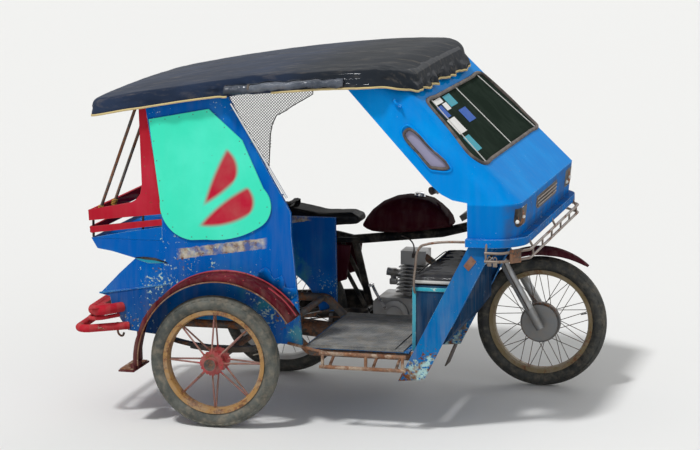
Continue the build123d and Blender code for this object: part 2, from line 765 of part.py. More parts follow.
def lower_x(z):
    """The lower front's X at one height."""
    return NOSE_FOOT_X + (CREASE_X - NOSE_FOOT_X) * (z - NOSE_FOOT_Z) / (CREASE_Z - NOSE_FOOT_Z)


def front_grille():
    """Slats in the slot between the lamps."""
    middle = (SIDE_Y + CAB_LEFT_Y) / 2
    bars = []
    for z in (LAMP_Z - 14, LAMP_Z + 3, LAMP_Z + 20):
        x = lower_x(z) - NOSE_SKIN - 8
        bars.append(rod((x, middle - GRILLE_HALF - 14, z), (x, middle + GRILLE_HALF + 14, z), 8))
    for y in (middle - GRILLE_HALF - 8, middle + GRILLE_HALF + 8):
        x = lower_x(LAMP_Z) - NOSE_SKIN - 8
        bars.append(block(x - 7, x + 3, y - 5, y + 5, LAMP_Z - 32, LAMP_Z + 36))
    return bars[0].fuse(*bars[1:])


def front_lamps():
    """The two lamps set back in their square holes."""
    lamps = []
    x0 = LAMP_BACK_X
    x1 = lower_x(LAMP_Z) - NOSE_SKIN + 4
    for y in LAMP_Y:
        bowl = rod((x0, y, LAMP_Z), (x1 - 14, y, LAMP_Z), 76)
        plate = block(x0, x0 + 8, y - LAMP_HALF - 14, y + LAMP_HALF + 14, LAMP_Z - 38, LAMP_Z + 38)
        ears = []
        for side in (-1, 1):
            inner = y + side * (LAMP_HALF + 4)
            outer = y + side * (LAMP_HALF + 10)
            ears.append(block(x0, x1, min(inner, outer), max(inner, outer), LAMP_Z - 18, LAMP_Z + 18))
        lamps.append(bowl.fuse(plate, *ears))
    return lamps


TRAY_Z = 844
TRAY_REAR_X = 1090
TRAY_FRONT_X = 1334
TRAY_FLARE = 22
TRAY_PLATE = 10
TRAY_CORNER_R = 165
LIP_DROP = 16


def tray_plan(inset, z):
    """The tray's outline at one height, back to the door opening, smaller by an inset."""
    y0 = SIDE_Y - TRAY_FLARE + inset
    y1 = CAB_LEFT_Y + TRAY_FLARE - inset
    x0 = TRAY_REAR_X
    x1 = TRAY_FRONT_X - inset
    r = TRAY_CORNER_R - inset
    return make_face([
        Line((x0, y1, z), (x0, y0, z)),
        Line((x0, y0, z), (x1 - r, y0, z)),
        RadiusArc((x1 - r, y0, z), (x1, y0 + r, z), -r),
        Line((x1, y0 + r, z), (x1, y1 - r, z)),
        RadiusArc((x1, y1 - r, z), (x1 - r, y1, z), -r),
        Line((x1 - r, y1, z), (x0, y1, z)),
    ])


def nose_tray():
    """The flared ledge round the nose's foot, with its turned lip."""
    outer = tray_plan(0, TRAY_Z)
    ledge = extrude(outer, amount=NOSE_FOOT_Z - TRAY_Z, dir=(0, 0, 1))
    ledge -= extrude(tray_plan(12, TRAY_Z), amount=NOSE_FOOT_Z - TRAY_PLATE - TRAY_Z, dir=(0, 0, 1))
    ledge -= block(TRAY_REAR_X - 10, TRAY_FRONT_X - 130, SIDE_Y + 26, CAB_LEFT_Y - 26, TRAY_Z, NOSE_FOOT_Z)
    lip = extrude(outer, amount=-LIP_DROP, dir=(0, 0, 1)) - extrude(tray_plan(5, TRAY_Z), amount=-LIP_DROP, dir=(0, 0, 1))
    return ledge + lip


FRONT_RAIL_X = TRAY_FRONT_X + 14
FRONT_RAIL_REAR_X = 1176
FRONT_RAIL_Z = TRAY_Z - LIP_DROP - 20
FRONT_RAIL_GAP = 36
FRONT_RAIL_D = 12


def front_rail():
    """Two thin tubes with short uprights, carried round below the tray."""
    high_z = FRONT_RAIL_Z
    low_z = FRONT_RAIL_Z - FRONT_RAIL_GAP
    y0 = SIDE_Y - TRAY_FLARE - 8
    y1 = CAB_LEFT_Y + TRAY_FLARE + 8
    x0 = FRONT_RAIL_REAR_X
    x1 = FRONT_RAIL_X

    def loop(z):
        return [(x0, y0, z), (x1 - 100, y0, z), (x1, y0 + 140, z), (x1, y1 - 140, z), (x1 - 100, y1, z), (x0, y1, z)]

    high = bent_tube(loop(high_z), FRONT_RAIL_D, 60)
    low = bent_tube(loop(low_z), FRONT_RAIL_D, 60)
    posts = []
    for y in (265, 500, 735, 970, 1205, 1400):
        posts.append(rod((x1, y, low_z), (x1, y, high_z), 9))
    for y in (265, 830, 1400):
        posts.append(rod((x1, y, high_z), (TRAY_FRONT_X - 8, y, TRAY_Z + 4), 10))
    for y, foot_y in ((y0, SIDE_Y - TRAY_FLARE + 6), (y1, CAB_LEFT_Y + TRAY_FLARE - 6)):
        posts.append(rod((x0 + 6, y, low_z), (x0 + 6, y, high_z), 10))
        posts.append(rod((x0 + 6, y, high_z), (x0 + 6, foot_y, TRAY_Z + 4), 10))
    return high.fuse(low, *posts)


def nose_legs():
    """The folded diagonal legs from the floor frame up to the tray, one each side of the cabin."""
    top = NOSE_FOOT_Z - TRAY_PLATE
    outer = [(795, 226), (910, 237), (1220, top), (1113, top)]
    inner = [(801, 200), (899, 200), (1220, top + 24), (1134, top + 24)]
    legs = []
    for y_web, y_open in ((SIDE_Y, SIDE_Y + 40), (LEFT_Y, LEFT_Y - 40)):
        y0 = min(y_web, y_open)
        web_in = 5 if y_open > y_web else -5
        cut = sorted((y_web + web_in, y_open + (1 if y_open > y_web else -1)))
        legs.append(side_plate(outer, y0, y0 + 40) - side_plate(inner, *cut))
    return legs


# Motorcycle

TANK_X = WHEELBASE - 635
TANK_Z = BIKE_TYRE_R + 430
HEADLAMP_X = WHEELBASE - 183
HEADLAMP_Z = BIKE_TYRE_R + 501


def along(distance, side=0.0, ahead=FORK_OFFSET):
    """A point by its distance up the fork from the axle, sideways and ahead of the steering axis."""
    a = math.radians(RAKE)
    ahead -= FORK_OFFSET
    x = WHEELBASE - distance * math.sin(a) + ahead * math.cos(a)
    z = BIKE_TYRE_R + distance * math.cos(a) + ahead * math.sin(a)
    return (x, BIKE_Y + side, z)


def bike_frame():
    """Head tube, backbone, cradle and the two seat rails, with the shock and pivot lugs."""
    head = rod(along(CLAMP_LOW + 24, 0, 0), along(CLAMP_HIGH - 24, 0, 0), HEAD_D)
    bore = rod(along(CLAMP_LOW, 0, 0), along(CLAMP_HIGH, 0, 0), STEM_D + 2)
    y = BIKE_Y
    high = along(CLAMP_HIGH - 60, 0, -20)
    low = along(CLAMP_LOW + 50, 0, -20)
    tubes = [
        bent_tube([high, (TANK_X + 160, y, 700), (330, y, 650)], 44, 60),
        bent_tube([low, (800, y, 340), (745, y, 236), (430, y, 236), (418, y, 330), (345, y, 640)], 34, 40),
    ]
    for side in (-1, 1):
        tubes.append(bent_tube([(360, y + side * 20, 652), (240, y + side * 92, 660),
                                (-260, y + side * 92, 705)], 24, 60))
        tubes.append(rod((420, y, 330), (420, y + side * 86, 330), 30))
        tubes.append(rod((-40, y + side * 92, 684), (-40, y + side * 122, 676), 16))
        tubes.append(rod((240, y + side * 88, 662), (414, y + side * 60, 332), 20))
        tubes.append(rod((424, y + side * 84, 322), (452, y + side * 190, 300), 18))
    tubes.append(rod((-200, y - 92, 700), (-200, y + 92, 700), 18))
    return (head.fuse(*tubes)) - bore


def engine():
    """The engine as one plain block at its real place, with the finned cylinder on top."""
    y = BIKE_Y
    case = block(455, 715, y - 105, y + 105, 256, 400)
    case = fillet(case.edges().filter_by(Axis.Y), 34)
    barrel = rod((612, y, 395), (632, y, 560), 76)
    fins = []
    for i in range(8):
        z = 418 + 17 * i
        x = 615 + 2 * i
        fins.append(block(x - 62, x + 62, y - 62, y + 62, z, z + 5))
    head = block(575, 695, y - 58, y + 58, 552, 616)
    return case.fuse(barrel, head, *fins)


def exhaust():
    """The header pipe and the long silencer on the sidecar's side."""
    y = BIKE_Y
    pipe = bent_tube([(690, y - 40, 590), (742, y - 60, 560), (748, y - 92, 330), (700, y - 118, 205),
                      (420, y - 134, 205), (330, y - 142, 236)], 32, 34)
    can = rod((345, y - 142, 232), (-300, y - 168, 292), 80)
    return pipe + can


def fuel_tank():
    """The teardrop tank over the backbone."""
    y = BIKE_Y
    side = [(212, 0), (200, 65), (100, 137), (-40, 141), (-170, 65), (-205, 0), (-40, -20)]
    body = side_plate([(TANK_X + x, TANK_Z + z) for x, z in side], y - 122, y + 122)
    half = [(230, 62), (100, 122), (-100, 116), (-230, 70)]
    outline = [(x, -w) for x, w in half] + [(x, w) for x, w in reversed(half)]
    plan = make_face(Polyline(*[(TANK_X + x, y + w, TANK_Z - 135) for x, w in outline], close=True))
    return body & extrude(plan, amount=400, dir=(0, 0, 1))


def bike_seat():
    """The long two-person saddle."""
    y = BIKE_Y
    profile = [(392, 738), (385, 792), (200, 782), (60, 806), (-270, 822), (-285, 760), (200, 722)]
    return side_plate(profile, y - 118, y + 118)


def side_covers():
    """The two covers under the saddle."""
    plates = []
    for side in (-1, 1):
        y0 = BIKE_Y + side * 108
        y1 = BIKE_Y + side * 128
        plates.append(side_plate([(350, 640), (330, 480), (200, 440), (110, 560), (120, 650)], min(y0, y1), max(y0, y1)))
    return plates


def swingarm():
    """The rear fork and the rear axle."""
    y = BIKE_Y
    parts = []
    for side in (-1, 1):
        parts.append(bent_tube([(420, y + side * 98, 330), (280, y + side * 98, 326),
                               (0, y + side * 98, BIKE_TYRE_R)], 26, 200))
    parts.append(rod((0, y - 112, BIKE_TYRE_R), (0, y + 112, BIKE_TYRE_R), 14))
    parts.append(rod((420, y - 112, 330), (420, y - 87, 330), 24))
    parts.append(rod((420, y + 87, 330), (420, y + 112, 330), 24))
    return parts[0].fuse(*parts[1:])


def shock_absorbers():
    """The two rear spring units."""
    units = []
    for side in (-1, 1):
        y = BIKE_Y + side * 124
        low = (-14, y, 330)
        high = (-40, y, 668)
        unit = rod(low, high, 24)
        a = Vector(*low)
        run = Vector(*high) - a
        for i in range(13):
            mid = a + run * (0.3 + 0.045 * i)
            unit += Solid.make_cylinder(25, 7, Plane(origin=mid, z_dir=run))
        units.append(unit)
    return units


def chain_case():
    """The pressed cover over the drive chain, on the left."""
    y = BIKE_Y + 64
    return side_plate([(396, 282), (396, 388), (330, 400), (0, 378), (-70, 340), (-70, 262), (0, 240)], y, y + 18)


def guard(hub, outer_r, half_w, depth, a0, a1):
    """A wheel guard: a crown sheet with a skirt down each side, between two angles."""
    x, y, z = hub
    crown = sector((x, z), outer_r - 3, outer_r, a0, a1, y - half_w, y + half_w)
    for side in (-1, 1):
        y0 = y + side * half_w
        y1 = y + side * (half_w - 3)
        crown += sector((x, z), outer_r - depth, outer_r, a0, a1, min(y0, y1), max(y0, y1))
    return crown


def rear_guard():
    """The rear mudguard with its lamp."""
    cover = guard(REAR_HUB, BIKE_TYRE_R + 37, 58, 34, 38, 158)
    lamp = block(-302, -250, BIKE_Y - 46, BIKE_Y + 46, BIKE_TYRE_R + 217, BIKE_TYRE_R + 295)
    arm = block(-262, -190, BIKE_Y - 14, BIKE_Y + 14, BIKE_TYRE_R + 255, 694)
    return cover.fuse(lamp, arm)


def front_guard():
    """The front mudguard, its stays to the fork and the worn rubber flap behind it."""
    cover = guard(FRONT_HUB, BIKE_TYRE_R + 47, 52, 50, 50, 178)
    for side in (-1, 1):
        y = BIKE_Y + side * 52
        x, _, z = along(318, 0)
        cover += rod((x, y - side * 2, z), (x, BIKE_Y + side * (FORK_HALF - 8), z), 12)
    return cover


def mud_flap():
    """The rubber flap under the front mudguard's rear end."""
    x, _, z = FRONT_HUB
    points = [(x - 351, z + 11), (x - 345, z + 11), (x - 443, z - 230), (x - 450, z - 229)]
    return side_plate(points, BIKE_Y - 50, BIKE_Y + 50)


def fork():
    """The telescopic legs, two clamps, the stem, the axle and the brake plate."""
    legs = []
    for side in (-FORK_HALF, FORK_HALF):
        legs.append(rod(along(-22, side), along(340, side), FORK_LEG_D))
        legs.append(rod(along(320, side), along(CLAMP_HIGH + 12, side), FORK_TUBE_D))
    stem = rod(along(CLAMP_LOW - 16, 0, 0), along(CLAMP_HIGH + 16, 0, 0), STEM_D)
    clamps = []
    for distance in (CLAMP_LOW, CLAMP_HIGH):
        base = Plane(origin=along(distance, 0, FORK_OFFSET / 2), x_dir=(0, 1, 0), z_dir=axis_vector())
        clamps.append(base * Box(2 * FORK_HALF + 50, FORK_OFFSET + 54, 28))
    axle = rod((WHEELBASE, BIKE_Y - FORK_HALF, BIKE_TYRE_R), (WHEELBASE, BIKE_Y + FORK_HALF, BIKE_TYRE_R), 14)
    plate = disc(FRONT_HUB, -60, -52, 84)
    return stem.fuse(axle, plate, *legs, *clamps)


def axis_vector():
    """The steering axis, pointing up and back."""
    a = math.radians(RAKE)
    return Vector(-math.sin(a), 0, math.cos(a))


GRIP_X = WHEELBASE - 461
GRIP_Z = BIKE_TYRE_R + 637
GRIP_HALF = 302
GRIP_LENGTH = 110


def handlebar():
    """The swept handlebar with its two grips and levers."""
    y = BIKE_Y
    x, _, z = along(CLAMP_HIGH + 14, 0)
    half = [(GRIP_X, GRIP_HALF, GRIP_Z), (GRIP_X + 88, 184, GRIP_Z + 24), (GRIP_X + 138, 112, GRIP_Z + 16),
            (x, 50, z + 26)]
    route = [(px, y - w, pz) for px, w, pz in half] + [(px, y + w, pz) for px, w, pz in reversed(half)]
    bar = bent_tube(route, 22, 24)
    for side in (-1, 1):
        bar += rod((x, y + side * 30, z), (x, y + side * 30, z + 26), 24)
        end = Vector(GRIP_X, y + side * GRIP_HALF, GRIP_Z)
        run = (Vector(GRIP_X + 88, y + side * 184, GRIP_Z + 24) - end).normalized()
        bar += Solid.make_cylinder(16.5, GRIP_LENGTH, Plane(origin=end, z_dir=run))
    return bar


def headlamp():
    """The round headlamp on its two brackets, and the instrument above."""
    x = HEADLAMP_X
    z = HEADLAMP_Z
    shell = rod((x - 66, BIKE_Y, z), (x + 26, BIKE_Y, z), 156)
    shell = fillet(shell.edges().sort_by(Axis.X)[0], 50)
    rim_ring = rod((x + 26, BIKE_Y, z), (x + 40, BIKE_Y, z), 166)
    for side in (-1, 1):
        shell += rod((x - 6, BIKE_Y + side * 70, z), along(520, side * FORK_HALF), 14)
    dial = rod((x - 122, BIKE_Y, z + 66), (x - 147, BIKE_Y, z + 112), 88)
    stay = rod((x - 130, BIKE_Y, z + 80), (x - 42, BIKE_Y, z + 44), 14)
    return shell.fuse(rim_ring, dial, stay)


PIECES = {
    "sidecar_chassis": sidecar_chassis,
    "dead_axle": dead_axle,
    "leaf_springs": leaf_springs,
    "floor_pan": floor_pan,
    "floor_mat": floor_mat,
    "step_frame": step_frame,
    "side_panel_right": side_panel_right,
    "side_panel_left": side_panel_left,
    "accent_panel": accent_panel,
    "rear_wall": rear_wall,
    "tail_body": tail_body,
    "luggage_boards": luggage_boards,
    "rear_bumper": rear_bumper,
    "wheel_arch": wheel_arch,
    "main_bench_base": main_bench_base,
    "main_bench_cushion": main_bench_cushion,
    "main_bench_back": main_bench_back,
    "front_bench_base": front_bench_base,
    "front_bench_cushion": front_bench_cushion,
    "handholds": handholds,
    "roof_canopy": roof_canopy,
    "roof_trim": roof_trim,
    "roof_frame": roof_frame,
    "rolled_curtain": rolled_curtain,
    "mesh_screen": mesh_screen,
    "nose_shell": nose_shell,
    "nose_tray": nose_tray,
    "window_glass": window_glass,
    "window_gaskets": window_gaskets,
    "front_grille": front_grille,
    "front_lamps": front_lamps,
    "front_rail": front_rail,
    "nose_legs": nose_legs,
    "bike_frame": bike_frame,
    "engine": engine,
    "exhaust": exhaust,
    "fuel_tank": fuel_tank,
    "bike_seat": bike_seat,
    "side_covers": side_covers,
    "swingarm": swingarm,
    "shock_absorbers": shock_absorbers,
    "chain_case": chain_case,
    "rear_guard": rear_guard,
    "fork": fork,
    "handlebar": handlebar,
    "headlamp": headlamp,
    "front_guard": front_guard,
    "mud_flap": mud_flap,
    "sidecar_tyre": lambda: tyre(SIDE_HUB, SIDE_TYRE_R, SIDE_RIM_R),
    "sidecar_wheel": sidecar_wheel,
    "rear_tyre": lambda: tyre(REAR_HUB, BIKE_TYRE_R, BIKE_RIM_R),
    "rear_wheel": lambda: laced_wheel(REAR_HUB, 72, -34, -4, 60),
    "front_tyre": lambda: tyre(FRONT_HUB, BIKE_TYRE_R, BIKE_RIM_R),
    "front_wheel": lambda: laced_wheel(FRONT_HUB, 93, -44, -12, 60),
}


def cut_to_meet(piece, other):
    """Take away what a piece shares with the one it is fixed to, and drop the loose chips."""
    cutters = other if isinstance(other, list) else [other]
    kept = []
    for solid in piece if isinstance(piece, list) else [piece]:
        for cutter in cutters:
            solid = solid - cutter
        whole = max(part.volume for part in solid.solids())
        kept += [part for part in solid.solids() if part.volume > 0.02 * whole]
    return kept


def save(name, shape):
    """Move a piece to the vehicle's own origin and write it."""
    body = Compound(list(shape)) if isinstance(shape, list) else shape
    moved = body.moved(Location((-MIDDLE_X, -MIDDLE_Y, 0)))
    export_step(moved, os.path.join("parts", f"{name}.step"))


# Where two pieces are welded, bolted or scribed to each other, the first is cut to meet the second
MEETS = {
    "sidecar_chassis": ("bike_frame",),
    "leaf_springs": ("dead_axle", "sidecar_chassis"),
    "side_panel_right": ("sidecar_chassis", "roof_canopy"),
    "side_panel_left": ("sidecar_chassis",),
    "rear_wall": ("roof_canopy",),
    "rear_bumper": ("side_panel_right", "side_panel_left", "tail_body"),
    "wheel_arch": ("sidecar_chassis", "side_panel_right"),
    "main_bench_base": ("sidecar_chassis", "tail_body"),
    "front_bench_base": ("sidecar_chassis", "floor_pan"),
    "nose_legs": ("sidecar_chassis",),
    "nose_shell": ("roof_canopy", "roof_trim"),
    "nose_tray": ("nose_legs", "nose_shell"),
    "front_rail": ("nose_tray", "nose_legs"),
    "front_grille": ("nose_shell",),
    "front_lamps": ("nose_shell",),
    "handholds": ("front_bench_base", "front_bench_cushion", "nose_shell", "side_panel_right", "nose_tray",
                  "nose_legs"),
    "fuel_tank": ("bike_frame",),
    "bike_seat": ("bike_frame", "fuel_tank"),
    "side_covers": ("bike_frame", "bike_seat"),
    "swingarm": ("bike_frame",),
    "chain_case": ("swingarm", "bike_frame"),
    "shock_absorbers": ("bike_frame", "swingarm"),
    "engine": ("bike_frame",),
    "exhaust": ("engine", "swingarm", "bike_frame"),
    "rear_guard": ("bike_frame",),
    "front_guard": ("fork",),
    "mud_flap": ("front_guard",),
    "handlebar": ("fork",),
    "headlamp": ("fork", "handlebar"),
}

os.makedirs("parts", exist_ok=True)
shapes = {name: make() for name, make in PIECES.items()}
for name, others in MEETS.items():
    for other in others:
        shapes[name] = cut_to_meet(shapes[name], shapes[other])
for name, shape in shapes.items():
    save(name, shape)
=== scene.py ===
"""Looks of a motorcycle tricycle taxi: paint, rust, vinyl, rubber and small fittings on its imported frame.

Places are given in millimetres in the maker's own frame, as the solids are: X forward from the rear
axle line, Y to the left from the sidecar wheel's middle plane, and Z up from the ground. The function
at() turns one into a place in the vehicle's frame, in metres.
"""
import logging
import math
from dataclasses import dataclass
from enum import Enum
from functools import cached_property, partial
from typing import Callable, Sequence, Union

import bmesh
import bpy
from mathutils import Matrix, Vector, noise


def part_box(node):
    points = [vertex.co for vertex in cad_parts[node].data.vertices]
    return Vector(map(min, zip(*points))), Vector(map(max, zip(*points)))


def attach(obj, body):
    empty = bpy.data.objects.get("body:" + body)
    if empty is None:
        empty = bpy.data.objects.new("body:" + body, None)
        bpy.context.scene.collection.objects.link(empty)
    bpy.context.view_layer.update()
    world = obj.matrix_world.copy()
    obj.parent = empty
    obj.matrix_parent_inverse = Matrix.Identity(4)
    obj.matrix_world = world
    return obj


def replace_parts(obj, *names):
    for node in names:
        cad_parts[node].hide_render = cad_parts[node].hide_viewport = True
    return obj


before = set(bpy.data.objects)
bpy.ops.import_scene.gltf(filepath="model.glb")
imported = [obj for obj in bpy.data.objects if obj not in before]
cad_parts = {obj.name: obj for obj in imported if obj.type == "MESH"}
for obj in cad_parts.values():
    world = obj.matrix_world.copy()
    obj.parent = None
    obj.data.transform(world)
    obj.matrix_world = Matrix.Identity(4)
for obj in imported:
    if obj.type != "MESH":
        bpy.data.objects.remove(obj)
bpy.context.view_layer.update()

log = logging.getLogger("tricycle")

Colour = tuple[float, float, float]
Place = Sequence[float]

# The vehicle's middle on the ground, the motorcycle's plane, the cabin's sides and the three axles, in the
# maker's frame. The radii are those of the tyres' treads and of the rims that they sit on.
MIDDLE = Vector((440.0, 764.0, 0.0))
BIKE_Y = 1150.0
SIDE_Y = 90.0
LEFT_Y = 868.0
CAB_LEFT_Y = 1570.0
SIDE_HUB = (0.0, 0.0, 291.5)
REAR_HUB = (0.0, BIKE_Y, 305.0)
FRONT_HUB = (1235.0, BIKE_Y, 305.0)
SIDE_RADII = (291.5, 229.0)
BIKE_RADII = (305.0, 243.0)


class Body(Enum):
    """The moving bodies that a piece can ride on."""

    VEHICLE = "vehicle"
    STEERING = "steering"
    FRONT = "front_road_wheel"
    REAR = "rear_road_wheel"
    SIDE = "side_road_wheel"


def at(x: float, y: float, z: float) -> Vector:
    """A place in the maker's frame, in millimetres, as a place in the vehicle's frame, in metres."""
    return (Vector((x, y, z)) - MIDDLE) / 1000


def back(place: Vector) -> Place:
    """The reverse of at(): a place in metres in the vehicle's frame, in the maker's millimetres."""
    return tuple(part * 1000 + start for part, start in zip(place, MIDDLE))


def mm(length: float) -> float:
    """Millimetres to metres."""
    return length / 1000


def operator(operation: str, reflected: bool = False) -> Callable[["Value", "Number"], "Value"]:
    """A method of Value that adds one Math node, its operands swapped when reflected.

    Args:
        operation: the Math node's operation.
        reflected: whether the other operand comes first.

    Returns:
        The method.
    """
    def method(self: "Value", other: "Number") -> "Value":
        """The node's result for this value and another."""
        return self.math(operation, *((other, self) if reflected else (self, other)))

    return method


class Value:
    """A socket that holds a number and takes part in plain arithmetic."""

    def __init__(self, tree: bpy.types.NodeTree, socket: bpy.types.NodeSocket) -> None:
        """Wrap a socket of a material's tree."""
        self.tree = tree
        self.socket = socket

    def math(self, operation: str, *operands: "Number", clamp: bool = False) -> "Value":
        """Add one Math node.

        Args:
            operation: the node's operation.
            operands: its inputs in order, numbers or values.
            clamp: whether the result is kept from 0 to 1.

        Returns:
            The node's result.
        """
        node = self.tree.nodes.new("ShaderNodeMath")
        node.operation = operation
        node.use_clamp = clamp
        for slot, operand in zip(node.inputs, operands):
            plug(self.tree, slot, operand)
        return Value(self.tree, node.outputs[0])

    __add__, __radd__ = operator("ADD"), operator("ADD", True)
    __sub__, __rsub__ = operator("SUBTRACT"), operator("SUBTRACT", True)
    __mul__, __rmul__ = operator("MULTIPLY"), operator("MULTIPLY", True)
    __truediv__, __pow__ = operator("DIVIDE"), operator("POWER")
    most = operator("MAXIMUM")

    def __abs__(self) -> "Value":
        """Size without sign."""
        return self.math("ABSOLUTE", self)

    def kept(self) -> "Value":
        """The value kept from 0 to 1."""
        return self.math("ADD", self, 0.0, clamp=True)

    def sine(self) -> "Value":
        """Its sine."""
        return self.math("SINE", self)


Number = Union[float, Value]
Link = Union[float, tuple, Value, bpy.types.NodeSocket]


def plug(tree: bpy.types.NodeTree, slot: bpy.types.NodeSocket, source: Link) -> None:
    """Set a socket, or link it when the source is another socket.

    Args:
        tree: the material's tree.
        slot: the input.
        source: a number, a colour, a value or a socket.
    """
    if isinstance(source, Value):
        tree.links.new(source.socket, slot)
    elif isinstance(source, bpy.types.NodeSocket):
        tree.links.new(source, slot)
    elif slot.type == "RGBA" and len(source) == 3:
        slot.default_value = (*source, 1.0)
    else:
        slot.default_value = source


class Recipe:
    """A material being mixed, on the piece's own Object coordinates."""

    def __init__(self, name: str) -> None:
        """Start a material with a Principled shader.

        Args:
            name: the material's name.
        """
        self.material = bpy.data.materials.new(name)
        self.material.use_nodes = True
        self.tree = self.material.node_tree
        self.tree.nodes.clear()
        self.shader = self.node("ShaderNodeBsdfPrincipled")
        self.node("ShaderNodeOutputMaterial", inputs={"Surface": self.shader.outputs[0]})
        self.coords = self.node("ShaderNodeTexCoord").outputs["Object"]

    def node(self, kind: str, settings: dict | None = None, stops: Sequence | None = None,
             inputs: dict | None = None) -> bpy.types.Node:
        """Add any node.

        Args:
            kind: the node's type.
            settings: its properties, set first.
            stops: a colour ramp's stops, as (place, colour) pairs.
            inputs: values or links by the socket's name or number.

        Returns:
            The node.
        """
        node = self.tree.nodes.new(kind)
        for key, value in (settings or {}).items():
            setattr(node, key, value)
        if stops:
            ramp = node.color_ramp
            while len(ramp.elements) < len(stops):
                ramp.elements.new(0.5)
            for element, (place, colour) in zip(ramp.elements, stops):
                element.position = place
                element.color = (*colour, 1.0)
        for key, source in (inputs or {}).items():
            plug(self.tree, node.inputs[key], source)
        return node

    def value(self, kind: str, output: str | int, settings: dict | None = None, **inputs: Link) -> Value:
        """Add a node and take one output as a value; an underscore in an input's name stands for a space."""
        named = {key.replace("_", " "): source for key, source in inputs.items()}
        return Value(self.tree, self.node(kind, settings, inputs=named).outputs[output])

    def stretched(self, scale: Place) -> bpy.types.NodeSocket:
        """Object coordinates after a Mapping node."""
        return self.node("ShaderNodeMapping", inputs={"Vector": self.coords, "Scale": scale}).outputs[0]

    def noise(self, scale: float, detail: float = 4.0, rough: float = 0.55,
              stretch: Place = (1, 1, 1), twist: float = 0.0) -> Value:
        """Cloudy noise from 0 to 1, in features per metre."""
        return self.value("ShaderNodeTexNoise", "Fac", Vector=self.stretched(stretch), Scale=scale, Detail=detail,
                          Roughness=rough, Distortion=twist)

    def cells(self, scale: float) -> Value:
        """Distance within scattered cells."""
        return self.value("ShaderNodeTexVoronoi", "Distance", Vector=self.stretched((1, 1, 1)), Scale=scale)

    def axis(self, index: int) -> Value:
        """X, Y or Z of the Object coordinates, in metres."""
        return self.value("ShaderNodeSeparateXYZ", index, Vector=self.coords)

    def ahead(self, low: float, high: float) -> Value:
        """A smooth step along X, between two places in the maker's millimetres."""
        return self.band(self.axis(0), at(low, 0, 0).x, at(high, 0, 0).x)

    def above(self, low: float, high: float) -> Value:
        """A smooth step up Z, between two heights in millimetres."""
        return self.band(self.axis(2), mm(low), mm(high))

    def grime(self, value: Value, low: float, high: float, most: Number) -> Value:
        """How thick the dust lies where a value runs from low to high."""
        return (self.band(value, low, high) * most).kept()

    def band(self, value: Value, low: float, high: float) -> Value:
        """A smooth step from 0 at low to 1 at high; low may be the larger."""
        return self.value("ShaderNodeMapRange", 0, {"interpolation_type": "SMOOTHSTEP"}, Value=value,
                          From_Min=low, From_Max=high, To_Min=0.0, To_Max=1.0)

    def mix(self, factor: Number, under: Link, over: Link) -> bpy.types.NodeSocket:
        """Blend two colours by a factor."""
        return self.node("ShaderNodeMix", {"data_type": "RGBA"}, inputs={0: factor, 6: under, 7: over}).outputs[2]

    def ramp(self, value: Value, stops: Sequence) -> bpy.types.NodeSocket:
        """A colour by a value."""
        return self.node("ShaderNodeValToRGB", stops=stops, inputs={0: value}).outputs[0]

    def bump(self, height: Value, depth: float, under: bpy.types.NodeSocket | None = None) -> bpy.types.NodeSocket:
        """Relief of a given depth in metres, on top of another normal.

        Args:
            height: the relief, as a value.
            depth: its depth, in metres.
            under: the normal under it, if any.

        Returns:
            The normal.
        """
        below = {} if under is None else {"Normal": under}
        inputs = {"Height": height, "Distance": depth, "Strength": 1.0, **below}
        return self.node("ShaderNodeBump", inputs=inputs).outputs[0]

    def edges(self, radius: float) -> Value:
        """How near a sharp edge is, from 0 on a flat face to about 1 on the edge.

        Args:
            radius: how far from an edge counts, in metres.

        Returns:
            The value.
        """
        soft = self.node("ShaderNodeBevel", {"samples": 4}, inputs={"Radius": radius}).outputs[0]
        true = self.node("ShaderNodeNewGeometry").outputs["Normal"]
        dot = self.node("ShaderNodeVectorMath", {"operation": "DOT_PRODUCT"}, inputs={0: soft, 1: true})
        return ((1.0 - Value(self.tree, dot.outputs["Value"])) * 5.0).kept()

    def reach(self, hub: Place) -> Value:
        """Distance from a wheel's axle, in metres.

        Args:
            hub: a place on the axle.

        Returns:
            The distance.
        """
        middle = at(*hub)
        across = self.axis(0) - middle.x
        up = self.axis(2) - middle.z
        return (across * across + up * up) ** 0.5

    def done(self, colour: Link, rough: Link, metal: Link = 0.0, normal: bpy.types.NodeSocket | None = None,
             **fixed: float) -> bpy.types.Material:
        """Wire the shader.

        Args:
            colour: base colour.
            rough: roughness.
            metal: metallic.
            normal: the relief's normal.
            fixed: other sockets, each one number all over, with spaces written as underscores.

        Returns:
            The material.
        """
        for key, source in (("Base Color", colour), ("Roughness", rough), ("Metallic", metal)):
            plug(self.tree, self.shader.inputs[key], source)
        if normal is not None:
            plug(self.tree, self.shader.inputs["Normal"], normal)
        for key, value in fixed.items():
            plug(self.tree, self.shader.inputs[key.replace("_", " ")], value)
        return self.material


RUST_STOPS = ((0.25, (0.035, 0.014, 0.008)), (0.5, (0.16, 0.055, 0.018)), (0.75, (0.33, 0.14, 0.05)))
DUST = (0.33, 0.28, 0.22)


